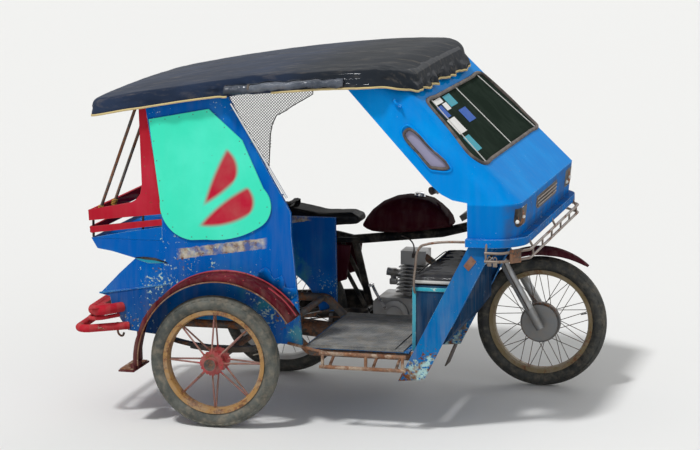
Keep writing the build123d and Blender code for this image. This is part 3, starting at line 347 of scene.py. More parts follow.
@dataclass(frozen=True)
class WornPaint:
    """Brushed and sprayed enamel with fading, chips to the undercoat and to rust, and road dust."""

    colour: Colour
    faded: Colour
    undercoat: Colour = (0.45, 0.62, 0.58)
    chips: float = 0.4
    rust: float = 0.3
    dust: float = 0.35
    gloss: float = 0.33
    edge: float = 0.0022
    dents: float = 0.0025
    coat: float = 0.05

    def mixed(self, name: str, marks: Callable | None = None) -> bpy.types.Material:
        """Mix the paint.

        Args:
            name: the material's name.
            marks: a function that paints over the enamel, given the recipe and the enamel's colour,
                and gives back a colour and extra chipping.

        Returns:
            The material.
        """
        mix = Recipe(name)
        cloud = mix.noise(3.2, 5.0, 0.6)
        streak = mix.noise(9.0, 4.0, 0.6, stretch=(3.0, 3.0, 0.35))
        fine = mix.noise(70.0, 7.0, 0.68)
        patch = mix.noise(6.5, 3.0, 0.5, twist=0.6)
        enamel = mix.mix(mix.band(cloud, 0.42, 0.72), self.colour, self.faded)
        extra: Number = 0.0
        if marks:
            enamel, extra = marks(mix, enamel)
        start = 0.735 - 0.10 * self.chips
        worn = mix.band(fine + (patch - 0.5) * 0.42 + extra, start, start + 0.018)
        if self.edge:
            rim = mix.edges(self.edge)
            worn = worn.most(mix.band(rim * 0.75 + fine * 0.55 + patch * 0.15, 0.78 - 0.12 * self.chips, 0.84))
        rust = mix.ramp(mix.noise(110.0, 5.0, 0.7), RUST_STOPS)
        bare = mix.mix(mix.band(mix.noise(16.0, 3.0, 0.6), 0.6 - 0.3 * self.rust, 0.72 - 0.3 * self.rust),
                       self.undercoat, rust)
        low = mix.above(850, 200)
        grime = (mix.band(streak, 0.35, 0.8) * (0.25 + low * 0.75) * self.dust).kept()
        chipped = mix.mix(worn, enamel, bare)
        colour = mix.mix(grime, chipped, DUST)
        rough = (self.gloss + worn * 0.4 + grime * 0.45 + (cloud - 0.5) * 0.15).kept()
        dent = mix.bump(mix.noise(4.0, 2.0, 0.4), self.dents)
        brushed = mix.bump(streak * 0.4 + fine * 0.3, 0.0006, dent)
        relief = mix.bump(1.0 - worn, 0.0005, brushed)
        return mix.done(colour, rough, 0.0, relief, Specular_IOR_Level=0.0, Coat_Weight=self.coat)


@dataclass(frozen=True)
class RustyMetal:
    """Old paint on steel that has mostly rusted, or greasy bare steel."""

    paint: Colour
    left: float = 0.5
    metal: float = 0.0
    rough: float = 0.62
    dust: float = 0.3

    def mixed(self, name: str) -> bpy.types.Material:
        """Mix the metal.

        Args:
            name: the material's name.

        Returns:
            The material.
        """
        mix = Recipe(name)
        fine = mix.noise(95.0, 7.0, 0.7)
        patch = mix.noise(14.0, 4.0, 0.6, twist=0.5)
        rust = mix.ramp(mix.noise(60.0, 6.0, 0.7), RUST_STOPS)
        bare = mix.band(fine * 0.55 + patch * 0.75, 0.35 + 0.45 * self.left, 0.45 + 0.45 * self.left)
        colour = mix.mix(bare, self.paint, rust)
        grime = mix.grime(mix.noise(8.0, 4.0, 0.6), 0.35, 0.75, self.dust)
        colour = mix.mix(grime, colour, DUST)
        rough = (self.rough + bare * 0.25 + grime * 0.2 - 0.1).kept()
        metal = ((1.0 - bare) * self.metal * (1.0 - grime)).kept()
        return mix.done(colour, rough, metal, mix.bump(fine + bare * 0.6, 0.0007))


@dataclass(frozen=True)
class Rubber:
    """Dusty rubber, greyer where it is scuffed."""

    colour: Colour = (0.022, 0.022, 0.021)
    scuffed: Colour = (0.10, 0.095, 0.082)
    dust: float = 0.5
    ribs: float = 0.0

    def mixed(self, name: str) -> bpy.types.Material:
        """Mix the rubber.

        Args:
            name: the material's name.

        Returns:
            The material.
        """
        mix = Recipe(name)
        cloud = mix.noise(11.0, 5.0, 0.62)
        fine = mix.noise(160.0, 4.0, 0.6)
        colour = mix.mix(mix.band(cloud, 0.35, 0.7), self.colour, self.scuffed)
        grime = mix.grime(mix.noise(26.0, 6.0, 0.65), 0.42, 0.72, self.dust)
        colour = mix.mix(grime, colour, (0.26, 0.22, 0.165))
        height = fine
        if self.ribs:
            height = height * 0.3 + (mix.axis(0) * self.ribs).sine()
        return mix.done(colour, (0.72 + grime * 0.2).kept(), 0.0, mix.bump(height, 0.0006))


@dataclass(frozen=True)
class Vinyl:
    """Coated cloth: fine grain, soft creases, dust in the folds and a few pale flecks."""

    colour: Colour
    faded: Colour
    rough: float = 0.34
    grain: float = 900.0
    creases: float = 0.0012
    flecks: float = 0.0
    coat: float = 0.12
    gleam: float = 0.0

    def mixed(self, name: str, marks: Callable | None = None) -> bpy.types.Material:
        """Mix the vinyl.

        Args:
            name: the material's name.
            marks: a function of the recipe and the colour that paints bands over it.

        Returns:
            The material.
        """
        mix = Recipe(name)
        cloud = mix.noise(4.5, 6.0, 0.62, twist=0.4)
        streak = mix.noise(20.0, 5.0, 0.6, stretch=(0.5, 1.6, 1.6))
        colour = mix.mix(mix.band(cloud, 0.4, 0.72), self.colour, self.faded)
        if marks:
            colour = marks(mix, colour)
        dusty = mix.grime(streak, 0.5, 0.8, 0.22)
        colour = mix.mix(dusty, colour, DUST)
        if self.flecks:
            spot = mix.band(mix.cells(60.0) + mix.noise(9.0) * 0.22, 0.15, 0.11) * self.flecks
            colour = mix.mix(spot.kept(), colour, (0.42, 0.26, 0.24))
        rough = (self.rough + dusty * 0.9 + (streak - 0.5) * 0.2).kept()
        crease = mix.bump(mix.noise(26.0, 5.0, 0.6, stretch=(1.0, 1.0, 0.5), twist=1.2), self.creases)
        leather = mix.bump(mix.cells(self.grain), 0.00025, crease)
        return mix.done(colour, rough, 0.0, leather, Coat_Weight=self.coat, Specular_IOR_Level=self.gleam)


@dataclass(frozen=True)
class Plain:
    """Metal or plastic of one colour, with fine scratches, spots of rust and dust."""

    colour: Colour
    rough: float = 0.4
    metal: float = 0.0
    spots: float = 0.2
    dust: float = 0.25

    def mixed(self, name: str) -> bpy.types.Material:
        """Mix the material.

        Args:
            name: the material's name.

        Returns:
            The material.
        """
        mix = Recipe(name)
        fine = mix.noise(120.0, 6.0, 0.7)
        cloud = mix.noise(12.0, 4.0, 0.6)
        rust = mix.ramp(mix.noise(80.0, 4.0, 0.7), RUST_STOPS)
        spot = mix.band(fine * 0.6 + cloud * 0.5, 0.80 - 0.25 * self.spots, 0.86 - 0.25 * self.spots)
        grime = mix.grime(mix.noise(17.0, 5.0, 0.6), 0.4, 0.75, self.dust)
        colour = mix.mix(grime, mix.mix(spot, self.colour, rust), DUST)
        rough = (self.rough + spot * 0.4 + grime * 0.4 + (fine - 0.5) * 0.12).kept()
        metal = ((1.0 - spot) * (1.0 - grime) * self.metal).kept()
        return mix.done(colour, rough, metal, mix.bump(fine, 0.0003),
                        Specular_IOR_Level=0.5 if self.metal > 0.3 else 0.06)


@dataclass(frozen=True)
class Pane:
    """Dusty tinted glass or a coloured lens."""

    tint: Colour
    alpha: float
    film: Colour = (0.5, 0.5, 0.5)
    haze: float = 0.25
    sides: Colour | None = None

    def mixed(self, name: str) -> bpy.types.Material:
        """Mix the glass.

        Args:
            name: the material's name.

        Returns:
            The material.
        """
        mix = Recipe(name)
        wipe = mix.band(mix.noise(7.0, 5.0, 0.6, twist=0.8), 0.35, 0.8) * self.haze
        colour = mix.mix(wipe.kept(), self.tint, self.film)
        alpha = (self.alpha + wipe * 0.8).kept()
        if self.sides:
            middle = at(0, (SIDE_Y + CAB_LEFT_Y) / 2, 0).y
            half = (CAB_LEFT_Y - SIDE_Y) / 2
            side = mix.band(abs(mix.axis(1) - middle), mm(half - 22), mm(half - 14))
            colour = mix.mix(side, colour, self.sides)
            alpha = (alpha + side * 0.25).kept()
        return mix.done(colour, (0.04 + wipe * 0.35).kept(), Alpha=alpha, Specular_IOR_Level=0.0)


def bowed(mix: Recipe, a: tuple[float, float], b: tuple[float, float], bow: float) -> Value:
    """Distance inside a bowed edge seen from the side, in millimetres.

    Args:
        mix: the material being mixed.
        a: the edge's start, X and Z in the maker's frame.
        b: its end; the inside lies to the left of the way from a to b.
        bow: how far the edge swells outwards at its middle.

    Returns:
        A value above 0 inside and below 0 outside.
    """
    start, end = at(a[0], 0, a[1]), at(b[0], 0, b[1])
    run = end - start
    length = run.length
    run.normalize()
    middle = (start + end) / 2
    x = mix.axis(0) - middle.x
    z = mix.axis(2) - middle.z
    along = (x * run.x + z * run.z) / (length / 2)
    inside = z * run.x - x * run.z
    return (inside + (1.0 - along * along) * mm(bow)) * 1000.0


PETALS = (
    (((-68, 968), (70, 1074), 6), ((70, 1074), (35, 1210), 26), ((35, 1210), (-68, 968), 8)),
    (((-88, 872), (139, 934), 20), ((139, 934), (127, 1047), 20), ((127, 1047), (-88, 872), 14)),
)


def sprayed_petals(mix: Recipe, enamel: Link) -> tuple[Link, Number]:
    """Two red petals sprayed on the accent panel, with soft edges.

    Args:
        mix: the recipe.
        enamel: the colour that it lies on.

    Returns:
        The colour and the extra chipping.
    """
    mask: Number = 0.0
    for edges in PETALS:
        petal: Number = 1.0
        for a, b, bow in edges:
            petal = mix.band(bowed(mix, a, b, bow), -13.0, 13.0) * petal
        mask = petal + mask
    spray = (mask * (0.78 + mix.noise(5.0) * 0.35)).kept()
    scratch = mix.band(mix.noise(30.0, 3.0, 0.5, stretch=(0.25, 1.0, 3.0)), 0.70, 0.73) * 0.10
    return mix.mix(spray, enamel, (0.50, 0.012, 0.040)), scratch


def scuffed_stripe_and_tail_shade(mix: Recipe, enamel: Link) -> tuple[Link, Number]:
    """A plain band on the side worn down to cream and brown, the torn patch ahead of the wheel, and painted shade on
    the tail below its fold.

    Args:
        mix: the recipe.
        enamel: the colour that it lies on.

    Returns:
        The colour and the extra chipping.
    """
    across = abs(bowed(mix, (-200, 740), (212, 806), 0))
    span = mix.ahead(-205, -175) * mix.ahead(216, 185)
    ragged = (mix.noise(55.0, 4.0, 0.6) - 0.5) * 16.0
    stripe = mix.band(across + ragged, 25.0, 21.0) * span
    tear = abs(bowed(mix, (70, 640), (300, 470), 0))
    near = mix.band(tear, 95.0, 20.0) * mix.ahead(40, 150)
    teal = (near * mix.band(mix.noise(9.0, 4.0), 0.45, 0.6) * 0.8).kept()
    colour = mix.mix(teal, enamel, (0.04, 0.28, 0.34))
    pale = mix.ramp(mix.noise(30.0, 4.0, 0.6), ((0.38, (0.20, 0.12, 0.07)), (0.5, (0.46, 0.38, 0.27)),
                                               (0.66, (0.60, 0.55, 0.44))))
    rubbed = stripe * (0.30 + mix.band(mix.noise(24.0, 5.0, 0.6), 0.38, 0.60) * 0.62)
    hub = mix.reach((30.0, 0.0, 283.0))
    chips = mix.band(hub, mm(560), mm(470)) * mix.band(hub, mm(380), mm(410)) * mix.ahead(60, -60)
    # Painted shade: the tail below its overhanging fold, behind X -200, is mixed towards a darker blue.
    below = mix.band(bowed(mix, (-556, 547), (-223, 602), 0), 3.0, -3.0) * mix.ahead(-200, -260)
    colour = mix.mix((below * 0.6).kept(), colour, (0.0, 0.045, 0.20))
    return mix.mix(rubbed.kept(), colour, pale), near * 0.10 + stripe * 0.03 + chips * 0.085


def rusted_foot(mix: Recipe, enamel: Link) -> tuple[Link, Number]:
    """Heavier chipping towards the foot of the diagonal legs."""
    return enamel, mix.above(420, 240) * 0.22


def scuffed_front(mix: Recipe, enamel: Link) -> tuple[Link, Number]:
    """A deeper blue below the nose's crease, rubbed grey at the front.

    Args:
        mix: the recipe.
        enamel: the colour that it lies on.

    Returns:
        The colour and the extra chipping.
    """
    below = mix.above(1016, 998) * mix.ahead(1235, 1268)
    rubbed = below * mix.band(mix.noise(10.0, 5.0, 0.65), 0.34, 0.62) * 0.75
    deeper = mix.mix(mix.above(1012, 1000) * 0.6, enamel, (0.0, 0.11, 0.42))
    return mix.mix(rubbed.kept(), deeper, (0.045, 0.11, 0.27)), below * 0.02


@dataclass(frozen=True)
class WheelEnamel:
    """One coat over a whole wheel: hub, spokes, rim and end cap each with its own paint and rust."""

    hub: Place
    hub_r: float
    rim_r: float
    colours: Sequence[Colour]
    cap_r: float = 0.0

    def mixed(self, name: str) -> bpy.types.Material:
        """Mix the coat.

        Args:
            name: the material's name.

        Returns:
            The material.
        """
        mix = Recipe(name)
        hub, spokes, rim, cap = self.colours
        r = mix.reach(self.hub)
        colour = mix.mix(mix.band(r, mm(self.hub_r), mm(self.hub_r + 3)), hub, spokes)
        colour = mix.mix(mix.band(r, mm(self.rim_r - 2), mm(self.rim_r + 1)), colour, rim)
        if self.cap_r:
            colour = mix.mix(mix.band(r, mm(self.cap_r), mm(self.cap_r - 2)), colour, cap)
        fine = mix.noise(85.0, 6.0, 0.7)
        patch = mix.noise(13.0, 4.0, 0.6, twist=0.4)
        worn = mix.band(fine * 0.6 + patch * 0.6, 0.60, 0.72)
        rust = mix.ramp(mix.noise(60.0, 5.0, 0.7), RUST_STOPS)
        grime = mix.grime(mix.noise(21.0, 5.0, 0.6), 0.38, 0.75, 0.45)
        colour = mix.mix(grime, mix.mix(worn, colour, rust), DUST)
        return mix.done(colour, (0.5 + worn * 0.25 + grime * 0.2).kept(), 0.0, mix.bump(fine + worn, 0.0006))


@dataclass(frozen=True)
class ForkSteel:
    """Silver lower legs, a duller hub plate and black clamps, by height."""

    silver: Colour = (0.34, 0.35, 0.36)
    dark: Colour = (0.02, 0.02, 0.022)
    hub: Colour = (0.21, 0.215, 0.22)

    def mixed(self, name: str) -> bpy.types.Material:
        """Mix the steel.

        Args:
            name: the material's name.

        Returns:
            The material.
        """
        mix = Recipe(name)
        fine = mix.noise(90.0, 6.0, 0.7)
        grime = mix.grime(mix.noise(18.0, 5.0, 0.6), 0.35, 0.75, 0.5)
        legs = mix.mix(mix.above(605, 615), self.silver, self.dark)
        bare = mix.mix(mix.band(mix.reach(FRONT_HUB), 0.088, 0.083), legs, self.hub)
        metal = ((1.0 - grime) * mix.above(620, 600) * 0.55).kept()
        return mix.done(mix.mix(grime, bare, DUST), (0.38 + grime * 0.4).kept(), metal, mix.bump(fine, 0.0004))


def pale_band(mix: Recipe, colour: Link) -> Link:
    """The white band round the front cushion's side."""
    return mix.mix(mix.above(648, 650) * mix.above(664, 662), colour, (0.66, 0.65, 0.61))


def painted_roof_sheen(mix: Recipe, colour: Link) -> Link:
    """Painted sheen on the roof: the rear half keeps a bluish navy that stands for its reflection, and the front half
    goes to charcoal.
    """
    # Painted sheen falls away from the rear towards the front.
    sheen_falloff = mix.band(mix.axis(0) + mix.noise(2.5) * 0.25, at(250, 0, 0).x, at(640, 0, 0).x)
    return mix.mix(sheen_falloff * 0.85, colour, (0.017, 0.020, 0.023))


Coat = Union[WornPaint, RustyMetal, Rubber, Vinyl, Plain, Pane, WheelEnamel, ForkSteel]


class Finish(Enum):
    """Every finish on the vehicle: its material's name, its slot, what it is mixed of and what is painted on it."""

    BODY_BLUE = "body_blue", "blue_paint", WornPaint((0.0, 0.105, 0.44), (0.002, 0.165, 0.53), chips=0.50, rust=0.25,
        dust=0.28, gloss=0.36, dents=0.005), scuffed_stripe_and_tail_shade
    NOSE_BLUE = "nose_blue", "blue_paint", WornPaint((0.0, 0.235, 0.70), (0.0, 0.29, 0.78), (0.5, 0.68, 0.75),
        chips=0.12, rust=0.35, dust=0.14, gloss=0.24, dents=0.004), scuffed_front
    LEG_BLUE = "leg_blue", "blue_paint", WornPaint((0.001, 0.12, 0.36), (0.006, 0.17, 0.42), (0.35, 0.55, 0.55),
        chips=0.75, rust=0.6, dust=0.30, gloss=0.4, dents=0.004), rusted_foot
    MINT = "mint_panel", "teal_paint", WornPaint((0.055, 0.78, 0.52), (0.085, 0.84, 0.59), (0.16, 0.30, 0.26),
        chips=0.06, rust=0.7, dust=0.12, gloss=0.42, dents=0.003), sprayed_petals
    BOARD_RED = "board_red", "red_paint", WornPaint((0.42, 0.013, 0.028), (0.50, 0.025, 0.05), (0.30, 0.15, 0.10),
        chips=0.35, rust=0.3, dust=0.22, gloss=0.5, dents=0.0015)
    PIPE_RED = "pipe_red", "red_paint", WornPaint((0.42, 0.010, 0.024), (0.48, 0.026, 0.040), (0.55, 0.42, 0.34),
        chips=0.85, rust=0.75, dust=0.35, gloss=0.5, edge=0.0, dents=0.001)
    FRAME = "frame_paint", "frame_paint", RustyMetal((0.055, 0.050, 0.048), left=0.55, metal=0.2)
    STEP_RUST = "step_rust", "rusty_steel", RustyMetal((0.33, 0.24, 0.17), left=0.42, dust=0.45)
    DARK_STEEL = "dark_steel", "rusty_steel", RustyMetal((0.05, 0.045, 0.04), left=0.5, metal=0.6, rough=0.5)
    SPRING = "spring_steel", "spring_steel", RustyMetal((0.03, 0.027, 0.025), left=0.7, metal=0.4, rough=0.5)
    BRIGHT = "bright_steel", "bright_steel", Plain((0.62, 0.62, 0.63), 0.24, 1.0, 0.35, 0.2)
    ALLOY = "cast_alloy", "alloy", Plain((0.33, 0.33, 0.33), 0.48, 0.75, 0.15, 0.5)
    BLACK = "black_enamel", "black_paint", Plain((0.014, 0.014, 0.015), 0.36, 0.0, 0.25, 0.35)
    MAROON = "maroon_enamel", "maroon_paint", WornPaint((0.052, 0.006, 0.012), (0.075, 0.010, 0.018),
        (0.08, 0.06, 0.05), chips=0.15, rust=0.5, dust=0.35, gloss=0.28, edge=0.0, dents=0.0008)
    TRIM = "cream_tape", "cream_tape", Plain((0.62, 0.49, 0.24), 0.6, 0.0, 0.3, 0.3)
    SCREEN = "mesh_wire", "mesh", Plain((0.05, 0.055, 0.06), 0.5, 0.0, 0.2, 0.3)
    # Its mark is painted sheen: a bluish navy rear standing for reflection, and a darker charcoal front.
    ROOF = "roof_vinyl", "roof_vinyl", Vinyl((0.016, 0.026, 0.052), (0.024, 0.038, 0.075), rough=0.17, creases=0.0035,
        flecks=0.2), painted_roof_sheen
    ROOF_BOARD = "roof_board", "roof_vinyl", RustyMetal((0.10, 0.09, 0.075), left=0.9, rough=0.8)
    CURTAIN = "curtain_sheet", "silver_sheet", Vinyl((0.035, 0.045, 0.065), (0.16, 0.18, 0.22), rough=0.13,
        creases=0.006, gleam=0.25)
    SEAT = "seat_vinyl", "seat_vinyl", Vinyl((0.028, 0.028, 0.031), (0.055, 0.055, 0.058), rough=0.46)
    PALE_SEAT = "pale_vinyl", "pale_vinyl", Vinyl((0.60, 0.59, 0.54), (0.72, 0.71, 0.67), rough=0.42)
    SADDLE = "saddle_vinyl", "seat_vinyl", Vinyl((0.012, 0.012, 0.013), (0.03, 0.03, 0.03), rough=0.38)
    RUBBER = "black_rubber", "rubber", Rubber((0.030, 0.024, 0.024), (0.11, 0.085, 0.08))
    MAT = "floor_rubber", "rubber", Rubber((0.12, 0.125, 0.13), (0.25, 0.25, 0.24), dust=0.5, ribs=520.0)
    SIDE_TYRE = "side_tyre", "tyre", Rubber((0.040, 0.045, 0.040), (0.11, 0.115, 0.10), dust=0.55)
    BIKE_TYRE = "bike_tyre", "tyre", Rubber((0.014, 0.015, 0.014), (0.04, 0.042, 0.038), dust=0.35)
    SIDE_WHEEL = "side_wheel", "rusty_steel", WheelEnamel(SIDE_HUB, 66.0, 204.0,
        ((0.33, 0.030, 0.035), (0.24, 0.10, 0.085), (0.33, 0.18, 0.055), (0.03, 0.022, 0.018)), 27.0)
    BIKE_WHEEL = "bike_wheel", "alloy", WheelEnamel(FRONT_HUB, 95.0, 218.0,
        ((0.10, 0.10, 0.10), (0.055, 0.045, 0.035), (0.20, 0.145, 0.062), (0.03, 0.03, 0.03)))
    GLASS = "screen_glass", "glass", Pane((0.018, 0.028, 0.021), 0.955, (0.10, 0.13, 0.11), haze=0.13,
        sides=(0.30, 0.29, 0.42))
    LENS = "lamp_lens", "glass", Pane((0.62, 0.64, 0.62), 0.62, (0.6, 0.58, 0.52), haze=0.4)
    RED_LENS = "tail_lens", "lamp", Pane((0.35, 0.010, 0.012), 0.92, (0.4, 0.3, 0.26), haze=0.2)
    LAMP = "lamp_rust", "lamp", RustyMetal((0.42, 0.20, 0.14), left=0.25, dust=0.3)
    FORK = "fork_steel", "alloy", ForkSteel()
    CARD = "white_card", "cream_tape", Plain((0.80, 0.80, 0.78), 0.6, 0.0, 0.0, 0.12)
    CARD_BLUE = "blue_card", "blue_paint", Plain((0.02, 0.10, 0.42), 0.6, 0.0, 0.0, 0.1)
    CARD_TEAL = "teal_card", "teal_paint", Plain((0.05, 0.33, 0.42), 0.6, 0.0, 0.0, 0.12)
    ROPE = "lashing_rope", "cream_tape", Plain((0.55, 0.30, 0.06), 0.8, 0.0, 0.0, 0.3)
    NAIL = "nail_head", "rusty_steel", Plain((0.10, 0.09, 0.08), 0.5, 0.6, 0.5, 0.2)
    TAIL_BLUE = "tail_blue", "blue_paint", WornPaint((0.0, 0.115, 0.45), (0.004, 0.20, 0.50), (0.35, 0.58, 0.60),
        chips=0.8, rust=0.3, dust=0.2, gloss=0.4)
    # Partly painted highlight: the pink on the arch's rolled edge is worn red paint and also the light caught on that
    # rounded edge.
    ARCH_EDGE_HIGHLIGHT = "arch_edge_pink", "red_paint", WornPaint((0.36, 0.045, 0.060), (0.46, 0.11, 0.12), (0.10, 0.05, 0.04),
        chips=0.9, rust=0.7, dust=0.25, gloss=0.45, edge=0.0, dents=0.0)
    STRIP = "window_strip", "bright_steel", Plain((0.60, 0.60, 0.58), 0.3, 0.4, 0.1, 0.15)
    FRONT_SEAT = "front_seat_vinyl", "seat_vinyl", Vinyl((0.030, 0.030, 0.033), (0.055, 0.055, 0.058),
        rough=0.42), pale_band
    BENCH_BOX = "bench_box", "blue_paint", WornPaint((0.004, 0.028, 0.075), (0.008, 0.05, 0.12), (0.10, 0.20, 0.22),
        chips=0.45, rust=0.5, dust=0.25, gloss=0.3)
    TEAL = "teal_enamel", "teal_paint", WornPaint((0.02, 0.27, 0.40), (0.05, 0.40, 0.48), (0.55, 0.66, 0.62),
        chips=0.9, rust=0.45, dust=0.25, gloss=0.4)
    ARCH_RED = "arch_red", "red_paint", WornPaint((0.085, 0.008, 0.014), (0.20, 0.022, 0.034), (0.42, 0.13, 0.13),
        chips=0.95, rust=0.8, dust=0.35, gloss=0.5, edge=0.0, dents=0.004)
    RAIL = "rusty_chrome", "bright_steel", Plain((0.19, 0.15, 0.125), 0.42, 0.5, 0.9, 0.35)
    STRAW = "brown_scrap", "rusty_steel", Plain((0.20, 0.085, 0.055), 0.75, 0.0, 0.5, 0.3)

    def __init__(self, label: str, slot: str, coat: Coat, *marks: Callable) -> None:
        """Keep the finish's parts."""
        self.label, self.slot, self.coat, self.marks = label, slot, coat, marks

    @cached_property
    def material(self) -> bpy.types.Material:
        """Its material, mixed on first use.

        Returns:
            The material.
        """
        made = self.coat.mixed(self.label, *self.marks)
        log.info("finish %s mixed", self.label)
        return made


NODES: dict[Finish, str] = {
    Finish.FRAME: "sidecar_chassis roof_frame",
    Finish.DARK_STEEL: "dead_axle exhaust",
    Finish.SPRING: "leaf_springs",
    Finish.LEG_BLUE: "floor_pan main_bench_base nose_legs",
    Finish.MAT: "floor_mat",
    Finish.STEP_RUST: "step_frame",
    Finish.BODY_BLUE: "side_panel_right side_panel_left rear_wall tail_body",
    Finish.MINT: "accent_panel",
    Finish.PIPE_RED: "rear_bumper",
    Finish.BENCH_BOX: "front_bench_base",
    Finish.NOSE_BLUE: "nose_shell nose_tray",
    Finish.GLASS: "window_glass",
    Finish.BRIGHT: "front_grille shock_absorbers handlebar",
    Finish.LAMP: "front_lamps",
    Finish.RAIL: "front_rail",
    Finish.BLACK: "bike_frame swingarm chain_case headlamp",
    Finish.ALLOY: "engine rear_wheel",
    Finish.MAROON: "side_covers rear_guard",
    Finish.RUBBER: "mud_flap",
    Finish.FORK: "fork",
    Finish.SIDE_WHEEL: "sidecar_wheel",
    Finish.BIKE_WHEEL: "front_wheel",
}


def baked(holder: bpy.types.Object) -> bpy.types.Mesh:
    """The mesh that an object gives with its modifiers."""
    return bpy.data.meshes.new_from_object(holder.evaluated_get(bpy.context.evaluated_depsgraph_get()))


def linked(name: str, data: bpy.types.ID) -> bpy.types.Object:
    """A new object of some data, in the scene.

    Args:
        name: the object's name.
        data: its mesh, curve, lamp or camera.

    Returns:
        The object.
    """
    holder = bpy.data.objects.new(name, data)
    bpy.context.scene.collection.objects.link(holder)
    return holder


def meshed(bm: bmesh.types.BMesh, name: str, turned: bool = False) -> bpy.types.Mesh:
    """Turn a bmesh into a mesh and free it.

    Args:
        bm: the bmesh.
        name: the mesh's name.
        turned: whether its faces are turned outwards first.

    Returns:
        The mesh.
    """
    if turned:
        bmesh.ops.recalc_face_normals(bm, faces=bm.faces)
    mesh = bpy.data.meshes.new(name)
    bm.to_mesh(mesh)
    bm.free()
    return mesh


def route_mesh(curve: bpy.types.Curve) -> bpy.types.Mesh:
    """Turn a curve into a mesh and remove it.

    Args:
        curve: the curve.

    Returns:
        The mesh.
    """
    holder = linked("route", curve)
    mesh = baked(holder)
    bpy.data.objects.remove(holder)
    bpy.data.curves.remove(curve)
    return mesh


def tube_mesh(route: Sequence[Vector], radius: float, sides: int, curved: bool, closed: bool) -> bpy.types.Mesh:
    """A round tube along a route, made as a curve and turned into a mesh.

    Args:
        route: places along its middle, in metres.
        radius: in metres.
        sides: of its ring, an even number from 4.
        curved: whether it passes the places in one smooth curve, or in straight runs.
        closed: whether its ends meet.

    Returns:
        The mesh.
    """
    curve = bpy.data.curves.new("route", "CURVE")
    curve.dimensions = "3D"
    curve.bevel_depth = radius
    curve.bevel_resolution = (sides - 4) // 2
    curve.use_fill_caps = not closed
    curve.resolution_u = 8
    spline = curve.splines.new("BEZIER" if curved else "POLY")
    points = spline.bezier_points if curved else spline.points
    points.add(len(route) - 1)
    for point, place in zip(points, route):
        if curved:
            point.co = place
            point.handle_left_type = point.handle_right_type = "AUTO"
        else:
            point.co = (*place, 1.0)
    spline.use_cyclic_u = closed
    return route_mesh(curve)


